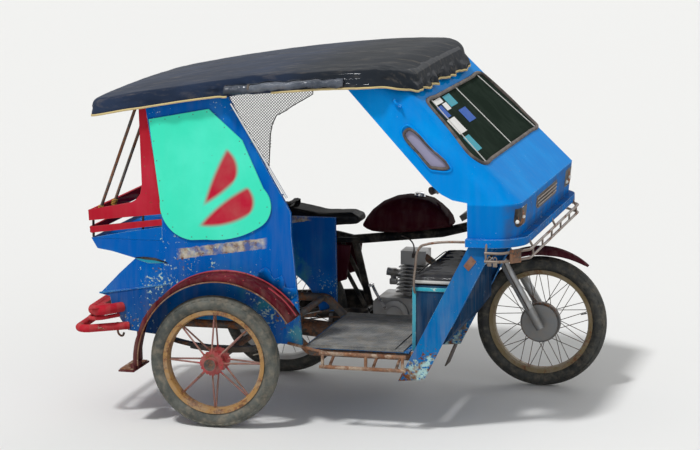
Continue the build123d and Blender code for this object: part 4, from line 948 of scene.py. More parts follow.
class Shape:
    """A mesh being shaped with bmesh operators. Places and sizes are millimetres in the maker's frame."""

    def __init__(self) -> None:
        """Start empty."""
        self.bm = bmesh.new()

    def box(self, low: Place, high: Place, bevel: float = 0.0, turn: Matrix | None = None) -> "Shape":
        """Add a box between two corners.

        Args:
            low: one corner.
            high: the opposite corner.
            bevel: the rounding of its edges.
            turn: a rotation about its middle.

        Returns:
            This shape.
        """
        made = bmesh.ops.create_cube(self.bm, size=1.0)["verts"]
        a, b = at(*low), at(*high)
        bmesh.ops.scale(self.bm, vec=b - a, verts=made)
        if turn:
            bmesh.ops.transform(self.bm, matrix=turn, verts=made)
        bmesh.ops.translate(self.bm, vec=(a + b) / 2, verts=made)
        return self.rounded(bevel, edges=list({edge for vert in made for edge in vert.link_edges})) if bevel else self

    def rounded(self, offset: float, segments: int = 2, edges: list[bmesh.types.BMEdge] | None = None) -> "Shape":
        """Bevel some edges, or all of them.

        Args:
            offset: the bevel's width.
            segments: of the bevel.
            edges: which edges, or all of them.

        Returns:
            This shape.
        """
        bmesh.ops.bevel(self.bm, geom=edges or self.bm.edges[:], offset=mm(offset), offset_type="OFFSET",
                        affect="EDGES", segments=segments, profile=0.5, material=-1)
        return self

    def rod(self, start: Place, end: Place, radius: float, tip: float | None = None, sides: int = 12) -> "Shape":
        """Add a round bar, or a cone when tip is another radius.

        Args:
            start: its first end.
            end: its other end.
            radius: at the start.
            tip: at the end.
            sides: of its ring.

        Returns:
            This shape.
        """
        a, b = at(*start), at(*end)
        run = b - a
        made = bmesh.ops.create_cone(self.bm, cap_ends=True, segments=sides, radius1=mm(radius),
                                     radius2=mm(radius if tip is None else tip), depth=run.length)["verts"]
        turn = run.to_track_quat("Z", "Y").to_matrix().to_4x4()
        bmesh.ops.transform(self.bm, matrix=Matrix.Translation((a + b) / 2) @ turn, verts=made)
        return self

    def lathe(self, profile: Sequence[tuple[float, float]], centre: Place, axis: Place = (0, 1, 0),
              steps: int = 48, closed: bool = False) -> "Shape":
        """Turn a profile about an axis.

        Args:
            profile: (radius, distance along the axis) points.
            centre: a place on the axis.
            axis: its direction.
            steps: of a full turn.
            closed: whether the profile's ends join.

        Returns:
            This shape.
        """
        middle = at(*centre)
        along = Vector(axis).normalized()
        out = along.orthogonal().normalized()
        verts = [self.bm.verts.new(middle + out * mm(r) + along * mm(y)) for r, y in profile]
        ends = verts + verts[:1] if closed else verts
        edges = [self.bm.edges.new(pair) for pair in zip(ends, ends[1:])]
        bmesh.ops.spin(self.bm, geom=verts + edges, cent=middle, axis=along, angle=math.tau, steps=steps,
                       use_merge=True)
        return self

    def tube(self, route: Sequence[Place], radius: float, sides: int = 8, curved: bool = True,
             closed: bool = False) -> "Shape":
        """Add a round tube along a route.

        Args:
            route: places along its middle.
            radius: of the tube.
            sides: of its ring.
            curved: whether it runs smoothly through the places.
            closed: whether its ends meet.

        Returns:
            This shape.
        """
        mesh = tube_mesh([at(*place) for place in route], mm(radius), sides, curved, closed)
        self.bm.from_mesh(mesh)
        bpy.data.meshes.remove(mesh)
        return self

    def slab(self, outline: Sequence[Place], depth: Place) -> "Shape":
        """Add a flat plate from its outline, as thick as a vector.

        Args:
            outline: its corners in order.
            depth: from its face to the other side.

        Returns:
            This shape.
        """
        verts = [self.bm.verts.new(at(*place)) for place in outline]
        face = self.bm.faces.new(verts)
        made = bmesh.ops.extrude_face_region(self.bm, geom=[face])["geom"]
        top = [part for part in made if isinstance(part, bmesh.types.BMVert)]
        bmesh.ops.translate(self.bm, vec=Vector(depth) / 1000, verts=top)
        return self

    def plate(self, outline: Sequence[tuple[float, float]], y: float, thick: float) -> "Shape":
        """Add an upright plate from its outline seen from the side, X and Z."""
        return self.slab([(x, y, z) for x, z in outline], (0, thick, 0))

    def loft(self, rings: Sequence[Callable[[float], Place]], sides: int = 28) -> "Shape":
        """Skin a row of rings and close both ends.

        Args:
            rings: for each ring, what gives its place at an angle.
            sides: of each ring.

        Returns:
            This shape.
        """
        edges = []
        for ring in rings:
            made = bmesh.ops.create_circle(self.bm, segments=sides, radius=1.0)["verts"]
            edges += list({edge for vert in made for edge in vert.link_edges})
            for vert in made:
                vert.co = at(*ring(math.atan2(vert.co.y, vert.co.x)))
        bmesh.ops.bridge_loops(self.bm, edges=edges)
        bmesh.ops.holes_fill(self.bm, edges=self.bm.edges[:], sides=sides)
        return self

    def knob(self, centre: Place, radius: float, squash: Place = (1, 1, 1), sides: int = 8) -> "Shape":
        """Add a ball, squashed along the axes.

        Args:
            centre: its middle.
            radius: of the ball.
            squash: its share along each axis.
            sides: round its middle.

        Returns:
            This shape.
        """
        size = Matrix.Diagonal((*squash, 1.0))
        bmesh.ops.create_uvsphere(self.bm, u_segments=sides, v_segments=max(4, sides - 2), radius=mm(radius),
                                  matrix=Matrix.Translation(at(*centre)) @ size)
        return self

    def piece(self, name: str, finish: Finish, body: Body = Body.VEHICLE, angle: float = 35.0) -> bpy.types.Object:
        """Close the shape and put it on the vehicle.

        Args:
            name: the piece's name.
            finish: its finish.
            body: the body that it rides on.
            angle: edges flatter than this are smooth, in degrees.

        Returns:
            The piece's object.
        """
        return placed(name, self.closed(name), finish, body, angle)

    def closed(self, name: str) -> bpy.types.Mesh:
        """Weld the shape, turn its faces outwards and make its mesh.

        Args:
            name: the mesh's name.

        Returns:
            The mesh.
        """
        bmesh.ops.remove_doubles(self.bm, verts=self.bm.verts, dist=1e-5)
        return meshed(self.bm, name, True)


def placed(name: str, mesh: bpy.types.Mesh, finish: Finish, body: Body = Body.VEHICLE,
           angle: float = 35.0) -> bpy.types.Object:
    """Make a piece of a finished mesh.

    Args:
        name: the piece's name.
        mesh: its mesh, in place.
        finish: its finish.
        body: the body that it rides on.
        angle: edges flatter than this are smooth, in degrees.

    Returns:
        The piece's object.
    """
    mesh.polygons.foreach_set("use_smooth", [True] * len(mesh.polygons))
    mesh.set_sharp_from_angle(angle=math.radians(angle))
    mesh.materials.clear()
    mesh.materials.append(finish.material)
    piece = linked(name, mesh)
    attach(piece, body.value)
    log.info("piece %s, %d faces", name, len(mesh.polygons))
    return piece


def thickened(piece: bpy.types.Object, thickness: float, offset: float = -1.0) -> bpy.types.Object:
    """Give a sheet its thickness in millimetres, with a Solidify modifier.

    Args:
        piece: the sheet.
        thickness: in millimetres.
        offset: -1 grows inwards, 0 both ways.

    Returns:
        The same piece.
    """
    solid = piece.modifiers.new("thickness", "SOLIDIFY")
    solid.thickness = mm(thickness)
    solid.offset = offset
    return piece


def crumple(place: Vector, size: float, seed: float = 0.0) -> float:
    """Creased noise from about -1 to 1, with features of a size in millimetres."""
    spot = place * (1000.0 / size) + Vector((seed, seed * 0.7, -seed))
    return 1.0 - 2.4 * abs(noise.noise(spot)) + 0.5 * noise.noise(spot * 2.3)


def dress_nodes() -> None:
    """Give the nodes that show as they are their finishes."""
    for finish, nodes in NODES.items():
        for node in nodes.split():
            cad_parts[node].data.materials[0] = finish.material
            log.info("node %s in %s", node, finish.label)


@dataclass
class Roof:
    """The vinyl roof: one sheet over a board, its valance, trim and the rolled rain curtain."""

    rear_x: float = -590.0
    front_x: float = 845.0
    overhang: float = 45.0
    arc_r: float = 8000.0
    arc_x: float = 1077.0
    top_z: float = 1582.0
    crown: float = 19.0
    drop: float = 65.0
    front_corner: float = 222.0
    far_corner: float = 430.0
    nod: float = 32.0
    nod_x: float = 690.0
    rear_corner: float = 90.0
    edge_r: float = 30.0
    rings: int = 10
    cells: int = 110
    tape_gap: tuple[float, float] = (48.0, 250.0)
    roll_turns: float = 3.2
    roll_radii: tuple[float, float] = (5.0, 17.0)
    roll_ends: tuple[float, float] = (42.0, 568.0)
    roll_drop: float = 44.0

    def __post_init__(self) -> None:
        """Work out its sides."""
        self.right_y = SIDE_Y - self.overhang
        self.left_y = CAB_LEFT_Y + self.overhang
        self.mid_y = (self.right_y + self.left_y) / 2

    def height(self, x: float, y: float) -> float:
        """The crowned deck's height at a place; the crown runs out a little beyond the sides."""
        across = (y - self.mid_y) / ((self.left_y - self.right_y) / 2 + 40)
        return self.rim_height(x) + self.crown * (1 - across * across)

    def rim_height(self, x: float) -> float:
        """The height of the valance's top along the roof."""
        ahead = max(0.0, (x - self.nod_x) / (self.front_x - self.nod_x))
        return self.top_z - self.arc_r + math.sqrt(self.arc_r ** 2 - (x - self.arc_x) ** 2) - self.nod * ahead * ahead

    def corner(self, ahead: bool, far: bool) -> float:
        """The plan's corner radius at the front or rear, near or far.

        Args:
            ahead: whether it is a front corner.
            far: whether it is on the far side.

        Returns:
            The radius.
        """
        if not ahead:
            return self.rear_corner
        return self.far_corner if far else self.front_corner

    def mapped(self, u: float, v: float, inset: float) -> tuple[float, float, float]:
        """Fit a square's point into the roof's plan.

        Args:
            u: from -1 at the rear to 1 at the front.
            v: from -1 at the right to 1 at the left.
            inset: how far inside the plan the edge lies.

        Returns:
            X, Y and the distance in from the edge.
        """
        u = 0.35 * u + 0.65 * math.sin(u * math.pi / 2)
        v = 0.35 * v + 0.65 * math.sin(v * math.pi / 2)
        half_x = (self.front_x - self.rear_x) / 2 - inset
        half_y = (self.left_y - self.right_y) / 2 - inset
        mid_x = (self.front_x + self.rear_x) / 2
        x, y = u * half_x, v * half_y
        corner = self.corner(x > 0, y > 0) - inset
        over_x = abs(x) - (half_x - corner)
        over_y = abs(y) - (half_y - corner)
        depth = min(half_x - abs(x), half_y - abs(y))
        if over_x > 0 and over_y > 0:
            largest = max(over_x, over_y)
            pull = largest / math.hypot(over_x, over_y)
            x = math.copysign(half_x - corner + over_x * pull, x)
            y = math.copysign(half_y - corner + over_y * pull, y)
            depth = corner - largest
        return x + mid_x, y + self.mid_y, depth

    def deck(self, inset: float, lift: float, cells: int, wrinkled: bool) -> bmesh.types.BMesh:
        """The crowned deck as one grid.

        Args:
            inset: how far inside the plan its edge lies.
            lift: how far it lies above the crown, in millimetres.
            cells: of the grid, each way.
            wrinkled: whether the vinyl's sags and creases are pressed in.

        Returns:
            The open mesh.
        """
        bm = bmesh.new()
        bmesh.ops.create_grid(bm, x_segments=cells, y_segments=cells, size=1.0)
        for vert in bm.verts:
            x, y, depth = self.mapped(vert.co.x, vert.co.y, inset)
            z = self.height(x, y) + lift
            if wrinkled:
                near = max(0.0, 1.0 - depth / self.edge_r)
                z -= self.edge_r * (1 - math.sqrt(max(0.0, 1 - near * near)))
                place = Vector((x, y, 0)) / 1000
                sag = 4.0 * noise.noise(place * 1.7) + 1.5 * crumple(place, 260.0, 3.0)
                corner = max(0.0, 1 - math.hypot(x - 700, y - 110) / 260)
                middle = max(0.0, 1 - math.hypot((x - 190) / 1.6, y - 70) / 130)
                folds = (0.4 + 3.0 * corner + 7.0 * middle) * crumple(place, 80.0, 9.0)
                z += (sag + folds) * min(1.0, depth / 26.0) - 3.0
            vert.co = at(x, y, z)
        return bm

    def outward(self, place: Vector) -> Vector:
        """The level direction out of the roof's edge at a place, in metres.

        Args:
            place: on the edge, in metres.

        Returns:
            The direction, or a null vector inside.
        """
        x, y, _ = back(place)
        corner = self.corner(x > 300, y > self.mid_y)
        cx = min(max(x, self.rear_x + corner), self.front_x - corner)
        cy = min(max(y, self.right_y + corner), self.left_y - corner)
        out = Vector((x - cx, y - cy, 0))
        return out.normalized() if out.length > 1e-6 else Vector((0, 0, 0))

    def ordered_edge(self, bm: bmesh.types.BMesh) -> list[bmesh.types.BMVert]:
        """The open edge's points in order round the roof.

        Args:
            bm: the open mesh.

        Returns:
            The points.
        """
        verts = [vert for vert in bm.verts if vert.is_boundary]
        middle = at((self.rear_x + self.front_x) / 2, self.mid_y, 0)
        return sorted(verts, key=lambda v: math.atan2(v.co.y - middle.y, v.co.x - middle.x))

    def sheet(self) -> list[list[Vector]]:
        """Make the vinyl: the deck and the valance hanging from its edge.

        Returns:
            The valance's rings of places, from the top down.
        """
        bm = self.deck(0.0, 0.0, self.cells, True)
        rings: list[list[Vector]] = []
        for ring in range(1, self.rings + 1):
            edges = [edge for edge in bm.edges if edge.is_boundary]
            made = bmesh.ops.extrude_edge_only(bm, edges=edges)["geom"]
            low = [part for part in made if isinstance(part, bmesh.types.BMVert)]
            fall = ring / self.rings
            for vert in low:
                x, y, _ = back(vert.co)
                out = self.outward(vert.co)
                spot = Vector((vert.co.x, vert.co.y, 0))
                drop = (self.drop - self.edge_r + 4) / self.rings
                rim = at(0, 0, self.height(x, y) - self.edge_r).z
                wave = 3.5 * noise.noise(spot * 6.0) * fall
                vert.co.z = rim - mm(drop * ring + wave) - (rim - at(0, 0, self.rim_height(x) - self.edge_r).z) * fall
                front = min(1.0, max(0.0, (x + 20) / 60))
                billow = (4.0 + 7.0 * front) * max(0.0, math.sin(math.pi * fall * 1.12)) * crumple(
                    Vector((spot.x, spot.y, vert.co.z * 3.0)), 130.0, 5.0)
                vert.co += out * mm(min(billow * 0.6, 7.0) - 0.4)
            bm.verts.ensure_lookup_table()
            rings.append([vert.co.copy() for vert in self.ordered_edge(bm)])
        mesh = meshed(bm, "roof_sheet", True)
        vinyl = placed("roof_sheet", mesh, Finish.ROOF, angle=60.0)
        thickened(vinyl, 2.5)
        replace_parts(vinyl, "roof_canopy")
        return rings

    def trim(self, rings: list[list[Vector]]) -> None:
        """Sew the pale tape along the valance's lower edge.

        Args:
            rings: the valance's rings, from the top down.
        """
        bm = bmesh.new()
        loops = []
        for ring, lift in ((rings[-2], 0.001), (rings[-1], -0.004)):
            verts = [bm.verts.new(place + self.outward(place) * 0.003 + Vector((0, 0, lift))) for place in ring]
            loops += [bm.edges.new(pair) for pair in zip(verts, verts[1:] + verts[:1])]
        bmesh.ops.bridge_loops(bm, edges=loops)
        lost = []
        for face in bm.faces:
            x, y, _ = back(face.calc_center_median())
            if self.tape_gap[0] < x < self.tape_gap[1] and y < SIDE_Y:
                lost.append(face)
        bmesh.ops.delete(bm, geom=lost, context="FACES")
        tape = thickened(placed("roof_tape", meshed(bm, "roof_tape", True), Finish.TRIM, angle=60.0), 2.0, 0.0)
        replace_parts(tape, "roof_trim")

    def board(self) -> None:
        """The weathered board under the vinyl."""
        mesh = meshed(self.deck(12.0, -11.0, 40, False), "roof_board", True)
        thickened(placed("roof_board", mesh, Finish.ROOF_BOARD, angle=60.0), 5.0)

    def curtain(self) -> None:
        """The rolled, shiny rain curtain over the door opening, held by two ties."""
        y = self.right_y - 15
        inner, outer = self.roll_radii
        first, last = self.roll_ends
        steps, stations = 84, 72
        bm = bmesh.new()
        profile = []
        for i in range(steps + 1):
            part = i / steps
            angle = math.tau * self.roll_turns * part
            radius = inner + (outer - inner) * part
            profile.append(bm.verts.new(at(first, y + radius * math.cos(angle), radius * math.sin(angle))))
        edges = [bm.edges.new(pair) for pair in zip(profile, profile[1:])]
        for _ in range(stations):
            made = bmesh.ops.extrude_edge_only(bm, edges=edges)["geom"]
            moved = [part for part in made if isinstance(part, bmesh.types.BMVert)]
            edges = [part for part in made if isinstance(part, bmesh.types.BMEdge) and part.is_boundary
                     and all(vert in moved for vert in part.verts)]
            bmesh.ops.translate(bm, verts=moved, vec=(mm(last - first) / stations, 0, 0))
        axle_y = at(0, y, 0).y
        for vert in bm.verts:
            x, _, _ = back(vert.co)
            out = Vector((0, vert.co.y - axle_y, vert.co.z))
            size = out.length * 1000 / outer
            fold = 3.2 * size * crumple(Vector((vert.co.x * 0.5, out.y, out.z)), 22.0, 2.0)
            fold += 6.0 * size * crumple(Vector((vert.co.x, 0, 0)), 90.0, 6.0)
            spiral = 1.2 * size * math.sin(2 * math.atan2(out.z, out.y) + x * 0.03)
            vert.co += out.normalized() * mm(fold + spiral)
            vert.co.y += mm(2.0 * math.sin(x * 0.021))
            vert.co.z += at(0, 0, self.rim_height(x) - self.roll_drop + 2.0 * math.sin(x * 0.033)).z
        mesh = meshed(bm, "curtain_roll", True)
        area = sum(face.area for face in mesh.polygons)
        roll = thickened(placed("curtain_roll", mesh, Finish.CURTAIN, angle=60.0), 0.7, 0.0)
        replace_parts(roll, "rolled_curtain")
        length = mm(last - first)
        area / length
        ties = Shape()
        for x in (150, 452):
            z = self.rim_height(x) - self.roll_drop
            ties.lathe([(18, -5), (19, 0), (18, 5)], (x, y, z), axis=(1, 0, 0), steps=20)
            ties.tube([(x, y + 12, z + 8), (x, y + 30, z + 16), (x + 4, y + 62, z + 20)], 3.0, 6)
        thickened(ties.piece("curtain_ties", Finish.RUBBER), 1.5)

    def build(self) -> None:
        """Build the whole roof."""
        self.board()
        self.trim(self.sheet())
        self.curtain()


def inside(outline: Sequence[tuple[float, float]], x: float, z: float) -> bool:
    """Whether a point lies within a closed outline, by counting the edges that it crosses.

    Args:
        outline: its corners, X and Z.
        x: the point's X.
        z: the point's Z.

    Returns:
        Whether it is inside.
    """
    crossed = False
    for (x0, z0), (x1, z1) in zip(outline, [*outline[1:], outline[0]]):
        if (z0 > z) != (z1 > z) and x < x0 + (x1 - x0) * (z - z0) / (z1 - z0):
            crossed = not crossed
    return crossed


@dataclass
class QuarterScreen:
    """The wire screen between the cabin and the driver."""

    pitch: float = 9.5
    wire: float = 3.6
    y: float = LEFT_Y + 7

    def build(self) -> None:
        """Weave the screen and bind its edge."""
        low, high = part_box("mesh_screen")
        (x0, _, z0), (x1, _, z1) = back(low), back(high)
        outline = [(x0, z0), (0, z0), (4, 1080), (8, 1170), (17, 1218), (38, 1262), (75, z1 - 182), (118, z1 - 152),
                   (165, z1 - 125), (210, z1 - 98), (x1, z1), (x0, z1 - 58)]
        bm = bmesh.new()
        size = max(x1 - x0, z1 - z0)
        count = int(size * 1.42 / self.pitch)
        turn = (Matrix.Translation(at((x0 + x1) / 2, self.y, (z0 + z1) / 2)) @ Matrix.Rotation(math.pi / 2, 4, "X")
                @ Matrix.Rotation(math.pi / 4, 4, "Z"))
        bmesh.ops.create_grid(bm, x_segments=count, y_segments=count, size=mm(size * 0.71), matrix=turn)
        outer = [face for face in bm.faces if not inside(outline, *back(face.calc_center_median())[::2])]
        bmesh.ops.delete(bm, geom=outer, context="FACES")
        screen = placed("quarter_mesh", meshed(bm, "quarter_mesh"), Finish.SCREEN)
        wires = screen.modifiers.new("wires", "WIREFRAME")
        wires.thickness = mm(self.wire)
        wires.use_even_offset = False
        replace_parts(screen, "mesh_screen")
        border = Shape()
        border.tube([(x, self.y, z) for x, z in outline], 2.6, 6, curved=False, closed=True)
        for x, z in ((x0 + 4, z0 + 120), (x0 + 4, z1 - 160), (-20, z0 + 2)):
            border.lathe([(7, -4), (7, 4)], (x, self.y, z), axis=(0, 0.3, 1), steps=10)
        border.piece("quarter_binding", Finish.BLACK)


def swollen(shape: Shape, name: str, voxel: float, cap: float, pressure: float = 4.0) -> bpy.types.Mesh:
    """Stuff a closed form: remesh it evenly and let cloth under pressure swell it.

    Args:
        shape: the closed form, a little smaller than the cushion.
        name: the piece's name.
        voxel: the mesh's pitch, in millimetres.
        cap: the most that a point may move, in millimetres.
        pressure: of the filling.

    Returns:
        The cushion's mesh.
    """
    holder = linked(name + "_case", shape.closed(name))
    scene = bpy.context.scene
    even = holder.modifiers.new("even", "REMESH")
    even.mode = "VOXEL"
    even.voxel_size = mm(voxel * (1.0))
    still = baked(holder)
    holder.modifiers.clear()
    holder.data = still
    cloth = holder.modifiers.new("filling", "CLOTH")
    weave = cloth.settings
    weave.use_pressure = True
    weave.uniform_pressure_force = pressure
    weave.effector_weights.gravity = 0.0
    weave.quality = 4
    weave.tension_stiffness = weave.compression_stiffness = 18
    cloth.point_cache.frame_start = 1
    cloth.point_cache.frame_end = 20
    for step in range(1, 21):
        scene.frame_set(step)
    moved = baked(holder)
    for before, after in zip(still.vertices, moved.vertices):
        way = after.co - before.co
        if way.length > mm(cap):
            after.co = before.co + way * (mm(cap) / way.length)
    scene.frame_set(1)
    holder.data = moved
    result = holder.data
    holder.modifiers.clear()
    bpy.data.objects.remove(holder)
    return result


def cushioned(piece: bpy.types.Object, node: str) -> None:
    """Args:
        piece: the stuffed piece.
        node: the node that it stands for.
    """
    smooth = piece.modifiers.new("smooth", "SUBSURF")
    smooth.levels = smooth.render_levels = 1
    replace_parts(piece, node)


@dataclass
class Cushion:
    """One padded seat piece with rounded edges and pressed seams."""

    name: str
    node: str
    finish: Finish
    low: Place
    high: Place
    round: float = 16.0
    cap: float = 9.0
    voxel: float = 7.0
    channels: int = 0
    fill: float = 0.7

    def build(self) -> None:
        """Stuff the cushion and press its seams in."""
        shape = Shape()
        inset = self.cap * 0.7
        low = tuple(v + inset for v in self.low[:2]) + (self.low[2] + 1.0,)
        high = tuple(v - inset for v in self.high[:2]) + (self.high[2] - inset,)
        shape.box(low, high, self.round)
        mesh = swollen(shape, self.name, self.voxel, self.cap)
        floor = at(0, 0, self.low[2] + 0.5).z
        width = mm(self.high[1] - self.low[1])
        first = at(0, self.low[1], 0).y
        for vert in mesh.vertices:
            if self.channels:
                phase = (vert.co.y - first) / width * self.channels
                near = abs(phase - round(phase)) * width / self.channels
                if 0 < round(phase) < self.channels and vert.normal.z > 0.3:
                    vert.co.z -= mm(7.0) * math.exp(-(near / mm(7.0)) ** 2)
            vert.co.z += mm(1.6) * crumple(vert.co, 95.0, 4.0) * max(0.0, vert.normal.z)
            vert.co.z = max(vert.co.z, floor)
        cushioned(placed(self.name, mesh, self.finish, angle=70.0), self.node)


def piping(name: str, low: Place, high: Place, z: float, corner: float, radius: float,
           finish: Finish) -> None:
    """A sewn cord round a cushion's edge at one height.

    Args:
        name: the piece's name.
        low: the cushion's low corner.
        high: its high corner.
        z: the seam's height.
        corner: the rounding of the route's corners.
        radius: of the cord.
        finish: its finish.
    """
    x0, y0, x1, y1 = low[0], low[1], high[0], high[1]
    cut = corner * 0.3
    route = [(x0 + corner, y0, z), (x1 - corner, y0, z), (x1 - cut, y0 + cut, z), (x1, y0 + corner, z),
             (x1, y1 - corner, z), (x1 - cut, y1 - cut, z), (x1 - corner, y1, z), (x0 + corner, y1, z),
             (x0 + cut, y1 - cut, z), (x0, y1 - corner, z), (x0, y0 + corner, z), (x0 + cut, y0 + cut, z)]
    Shape().tube(route, radius, 6, closed=True).piece(name, finish, angle=80.0)


@dataclass
class Seats:
    """The passengers' benches, the backrest and the rider's saddle."""

    bench_y: tuple[float, float] = (SIDE_Y + 20, LEFT_Y - 20)
    front_y: tuple[float, float] = (SIDE_Y + 41, LEFT_Y - 44)
    back_channels: int = 5
    saddle_half: float = 112

    def build(self) -> None:
        """Stuff all the seats."""
        y0, y1 = self.bench_y
        Cushion("bench_cushion", "main_bench_cushion", Finish.SEAT, (-236, y0, 590), (132, y1, 668),
                channels=4).build()
        piping("bench_piping", (-232, y0 + 3, 0), (129, y1 - 3, 0), 652, 22, 3.0, Finish.PALE_SEAT)
        y0, y1 = self.front_y
        Cushion("front_cushion", "front_bench_cushion", Finish.FRONT_SEAT, (843, y0, 640), (1078, y1, 684),
                round=12, cap=7, voxel=6).build()
        piping("front_piping", (846, y0 + 3, 0), (1075, y1 - 3, 0), 671, 16, 2.4, Finish.SEAT)
        self.backrest()
        self.saddle()

    def backrest(self) -> None:
        """Five upright channels on the leaning wall."""
        y0, y1 = self.bench_y[0] + 20, self.bench_y[1] - 20
        low, bend, base, top = 674, 797, 955, 1031
        lean = (-343 + 266) / (1430 - base)
        wall = -266 + 16
        count = self.back_channels
        foot = wall + lean * (bend - base)
        head = wall + lean * (top - base)
        outline = ((foot + 6, low), (foot + 6, bend), (head + 3, top), (head + 42, top - 4), (foot + 48, low))
        shape = Shape().plate(outline, y0 + 6, y1 - y0 - 12)
        bmesh.ops.recalc_face_normals(shape.bm, faces=shape.bm.faces)
        shape.rounded(12)
        mesh = swollen(shape, "backrest", 7.0, 8.0)
        first, width = at(0, y0, 0).y, mm(y1 - y0)
        for vert in mesh.vertices:
            phase = (vert.co.y - first) / width * count
            near = abs(phase - round(phase)) * width / count
            if 0 < round(phase) < count and vert.normal.x > 0.3:
                vert.co.x -= mm(9.0) * math.exp(-(near / mm(7.0)) ** 2)
            x, _, z = back(vert.co)
            rear = wall + lean * (max(z, bend) - base) + 1.0
            if x < rear:
                vert.co.x = at(rear, 0, 0).x
        cushioned(placed("backrest", mesh, Finish.SEAT, angle=70.0), "main_bench_back")

    def saddle(self) -> None:
        """The long saddle, higher at the rear, and its strap."""
        half = self.saddle_half
        profile = [(388, 742), (381, 782), (200, 774), (60, 797), (-262, 812), (-276, 764), (200, 726)]
        shape = Shape()
        shape.plate(profile, BIKE_Y - half, 2 * half)
        bmesh.ops.recalc_face_normals(shape.bm, faces=shape.bm.faces)
        shape.rounded(16, 3)
        middle = at(0, BIKE_Y, 0).y
        for vert in shape.bm.verts:
            taper = 1.0 - 0.38 * min(1.0, max(0.0, (back(vert.co)[0] - 120) / 270)) ** 1.5
            vert.co.y = middle + (vert.co.y - middle) * taper
        mesh = swollen(shape, "saddle", 7.0, 8.0)
        cushioned(placed("saddle", mesh, Finish.SADDLE, angle=70.0), "bike_seat")
        strap = Shape()
        strap.tube([(40, BIKE_Y - 116, 760), (38, BIKE_Y - 113, 800), (40, BIKE_Y - 90, 816), (42, BIKE_Y, 822),
                    (40, BIKE_Y + 90, 816), (38, BIKE_Y + 113, 800), (40, BIKE_Y + 116, 760)], 5.0, 6)
        for vert in strap.bm.verts:
            vert.co.x += (vert.co.x - at(40, 0, 0).x) * 2.0
        strap.piece("saddle_strap", Finish.SADDLE, angle=60.0)


@dataclass
class RoadTyre:
    """A tyre with grooves round its tread and ribs on its shoulders, in place of the plain one."""

    name: str
    node: str
    body: Body
    hub: Place
    outer_r: float
    rim_r: float
    finish: Finish
    width: float = 78.0
    bead: float = 25.0
    ribs: int = 64

    def profile(self) -> list[tuple[float, float]]:
        """Half of the tyre's outline from its bead to the middle of the tread, mirrored.

        Returns:
            (Radius, distance along the axle) points.
        """
        half = self.width / 2
        high = self.outer_r
        belly = self.rim_r + 0.42 * (high - self.rim_r)
        right = [(self.rim_r - 10, self.bead - 3), (self.rim_r + 1, self.bead + 1), (self.rim_r + 7, self.bead + 4),
                 (belly - 12, half - 3.5), (belly, half - 0.4), (belly + 9, half - 1.2), (high - 22, half - 4.5),
                 (high - 15, half - 7), (high - 10, half - 11), (high - 5.5, half - 18), (high - 4.6, half - 19.5),
                 (high - 9, half - 20.5), (high - 9, half - 22.5), (high - 3.4, half - 23.5),
                 (high - 1.2, 5.2), (high - 7, 4.6), (high - 7, 2.2), (high - 0.4, 1.6)]
        return [(r, -y) for r, y in right] + [(r, y) for r, y in reversed(right)]

    def build(self) -> None:
        """Turn the tyre and set its ribs."""
        shape = Shape()
        shape.lathe(self.profile(), self.hub, steps=96)
        half = self.width / 2
        middle = at(*self.hub)
        for i in range(self.ribs):
            for side in (-1, 1):
                angle = math.tau * (i + (0.5 if side > 0 else 0.0)) / self.ribs
                size = Matrix.Diagonal((mm(math.tau * self.outer_r / self.ribs * 0.52), mm(15), mm(7), 1.0))
                lean = Matrix.Rotation(math.radians(-side * 34), 4, "X")
                place = (Matrix.Translation(middle) @ Matrix.Rotation(-angle, 4, "Y")
                         @ Matrix.Translation((0, side * mm(half - 12.5), mm(self.outer_r - 12.8))) @ lean @ size)
                bmesh.ops.create_cube(shape.bm, size=1.0, matrix=place)
        for side in (-1, 1):
            shape.lathe([(self.rim_r + 9, side * (half - 9)), (self.rim_r + 10.5, side * (half - 7.2)),
                         (self.rim_r + 12, side * (half - 8))], self.hub, steps=96)
        valve = (self.hub[0] + self.rim_r * 0.86, self.hub[1] + 4, self.hub[2] + self.rim_r * 0.18)
        shape.rod(valve, (valve[0] - 26, valve[1] - 8, valve[2] - 6), 3.6, 2.6, 8)
        tyre = shape.piece(self.name, self.finish, self.body, angle=42.0)
        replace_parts(tyre, self.node)


def settled(route: Sequence[Place]) -> list[Vector]:
    """The places of the smooth line that a cord's route gives, in metres.

    Args:
        route: its given points, in the maker's frame.

    Returns:
        The line's places, close together.
    """
    curve = bpy.data.curves.new("route", "CURVE")
    curve.dimensions = "3D"
    curve.resolution_u = 6
    spline = curve.splines.new("NURBS")
    spline.points.add(len(route) - 1)
    for point, place in zip(spline.points, route):
        point.co = (*at(*place), 1.0)
    spline.order_u = 3
    spline.use_endpoint_u = True
    mesh = route_mesh(curve)
    line = [vert.co.copy() for vert in mesh.vertices]
    bpy.data.meshes.remove(mesh)
    return line


def free_cord(name: str, route: Sequence[Place], diameter: float, finish: Finish, body: Body) -> None:
    """A cable or rope that goes from the vehicle back into it.

    Args:
        name: the piece's name.
        route: the points of its spline, in the maker's frame.
        diameter: in millimetres.
        finish: its finish.
        body: the body that it rides on.
    """
    line = settled(route)
    cord = placed(name, tube_mesh(line, mm(diameter / 2), 8, False, False), finish, body, angle=80.0)
    mm(diameter)


def helix(start: Place, end: Place, radius: float, turns: float, steps: int = 16) -> list[Place]:
    """A coil's route about the line between two places.

    Args:
        start: the line's first end.
        end: its other end.
        radius: of the coil.
        turns: how many.
        steps: of each turn.

    Returns:
        The route.
    """
    a, b = Vector(start), Vector(end)
    along = (b - a).normalized()
    out = along.orthogonal().normalized()
    side = along.cross(out)
    route = []
    for i in range(int(turns * steps) + 1):
        part = i / (turns * steps)
        angle = math.tau * turns * part
        route.append(tuple(a + (b - a) * part + (out * math.cos(angle) + side * math.sin(angle)) * radius))
    return route


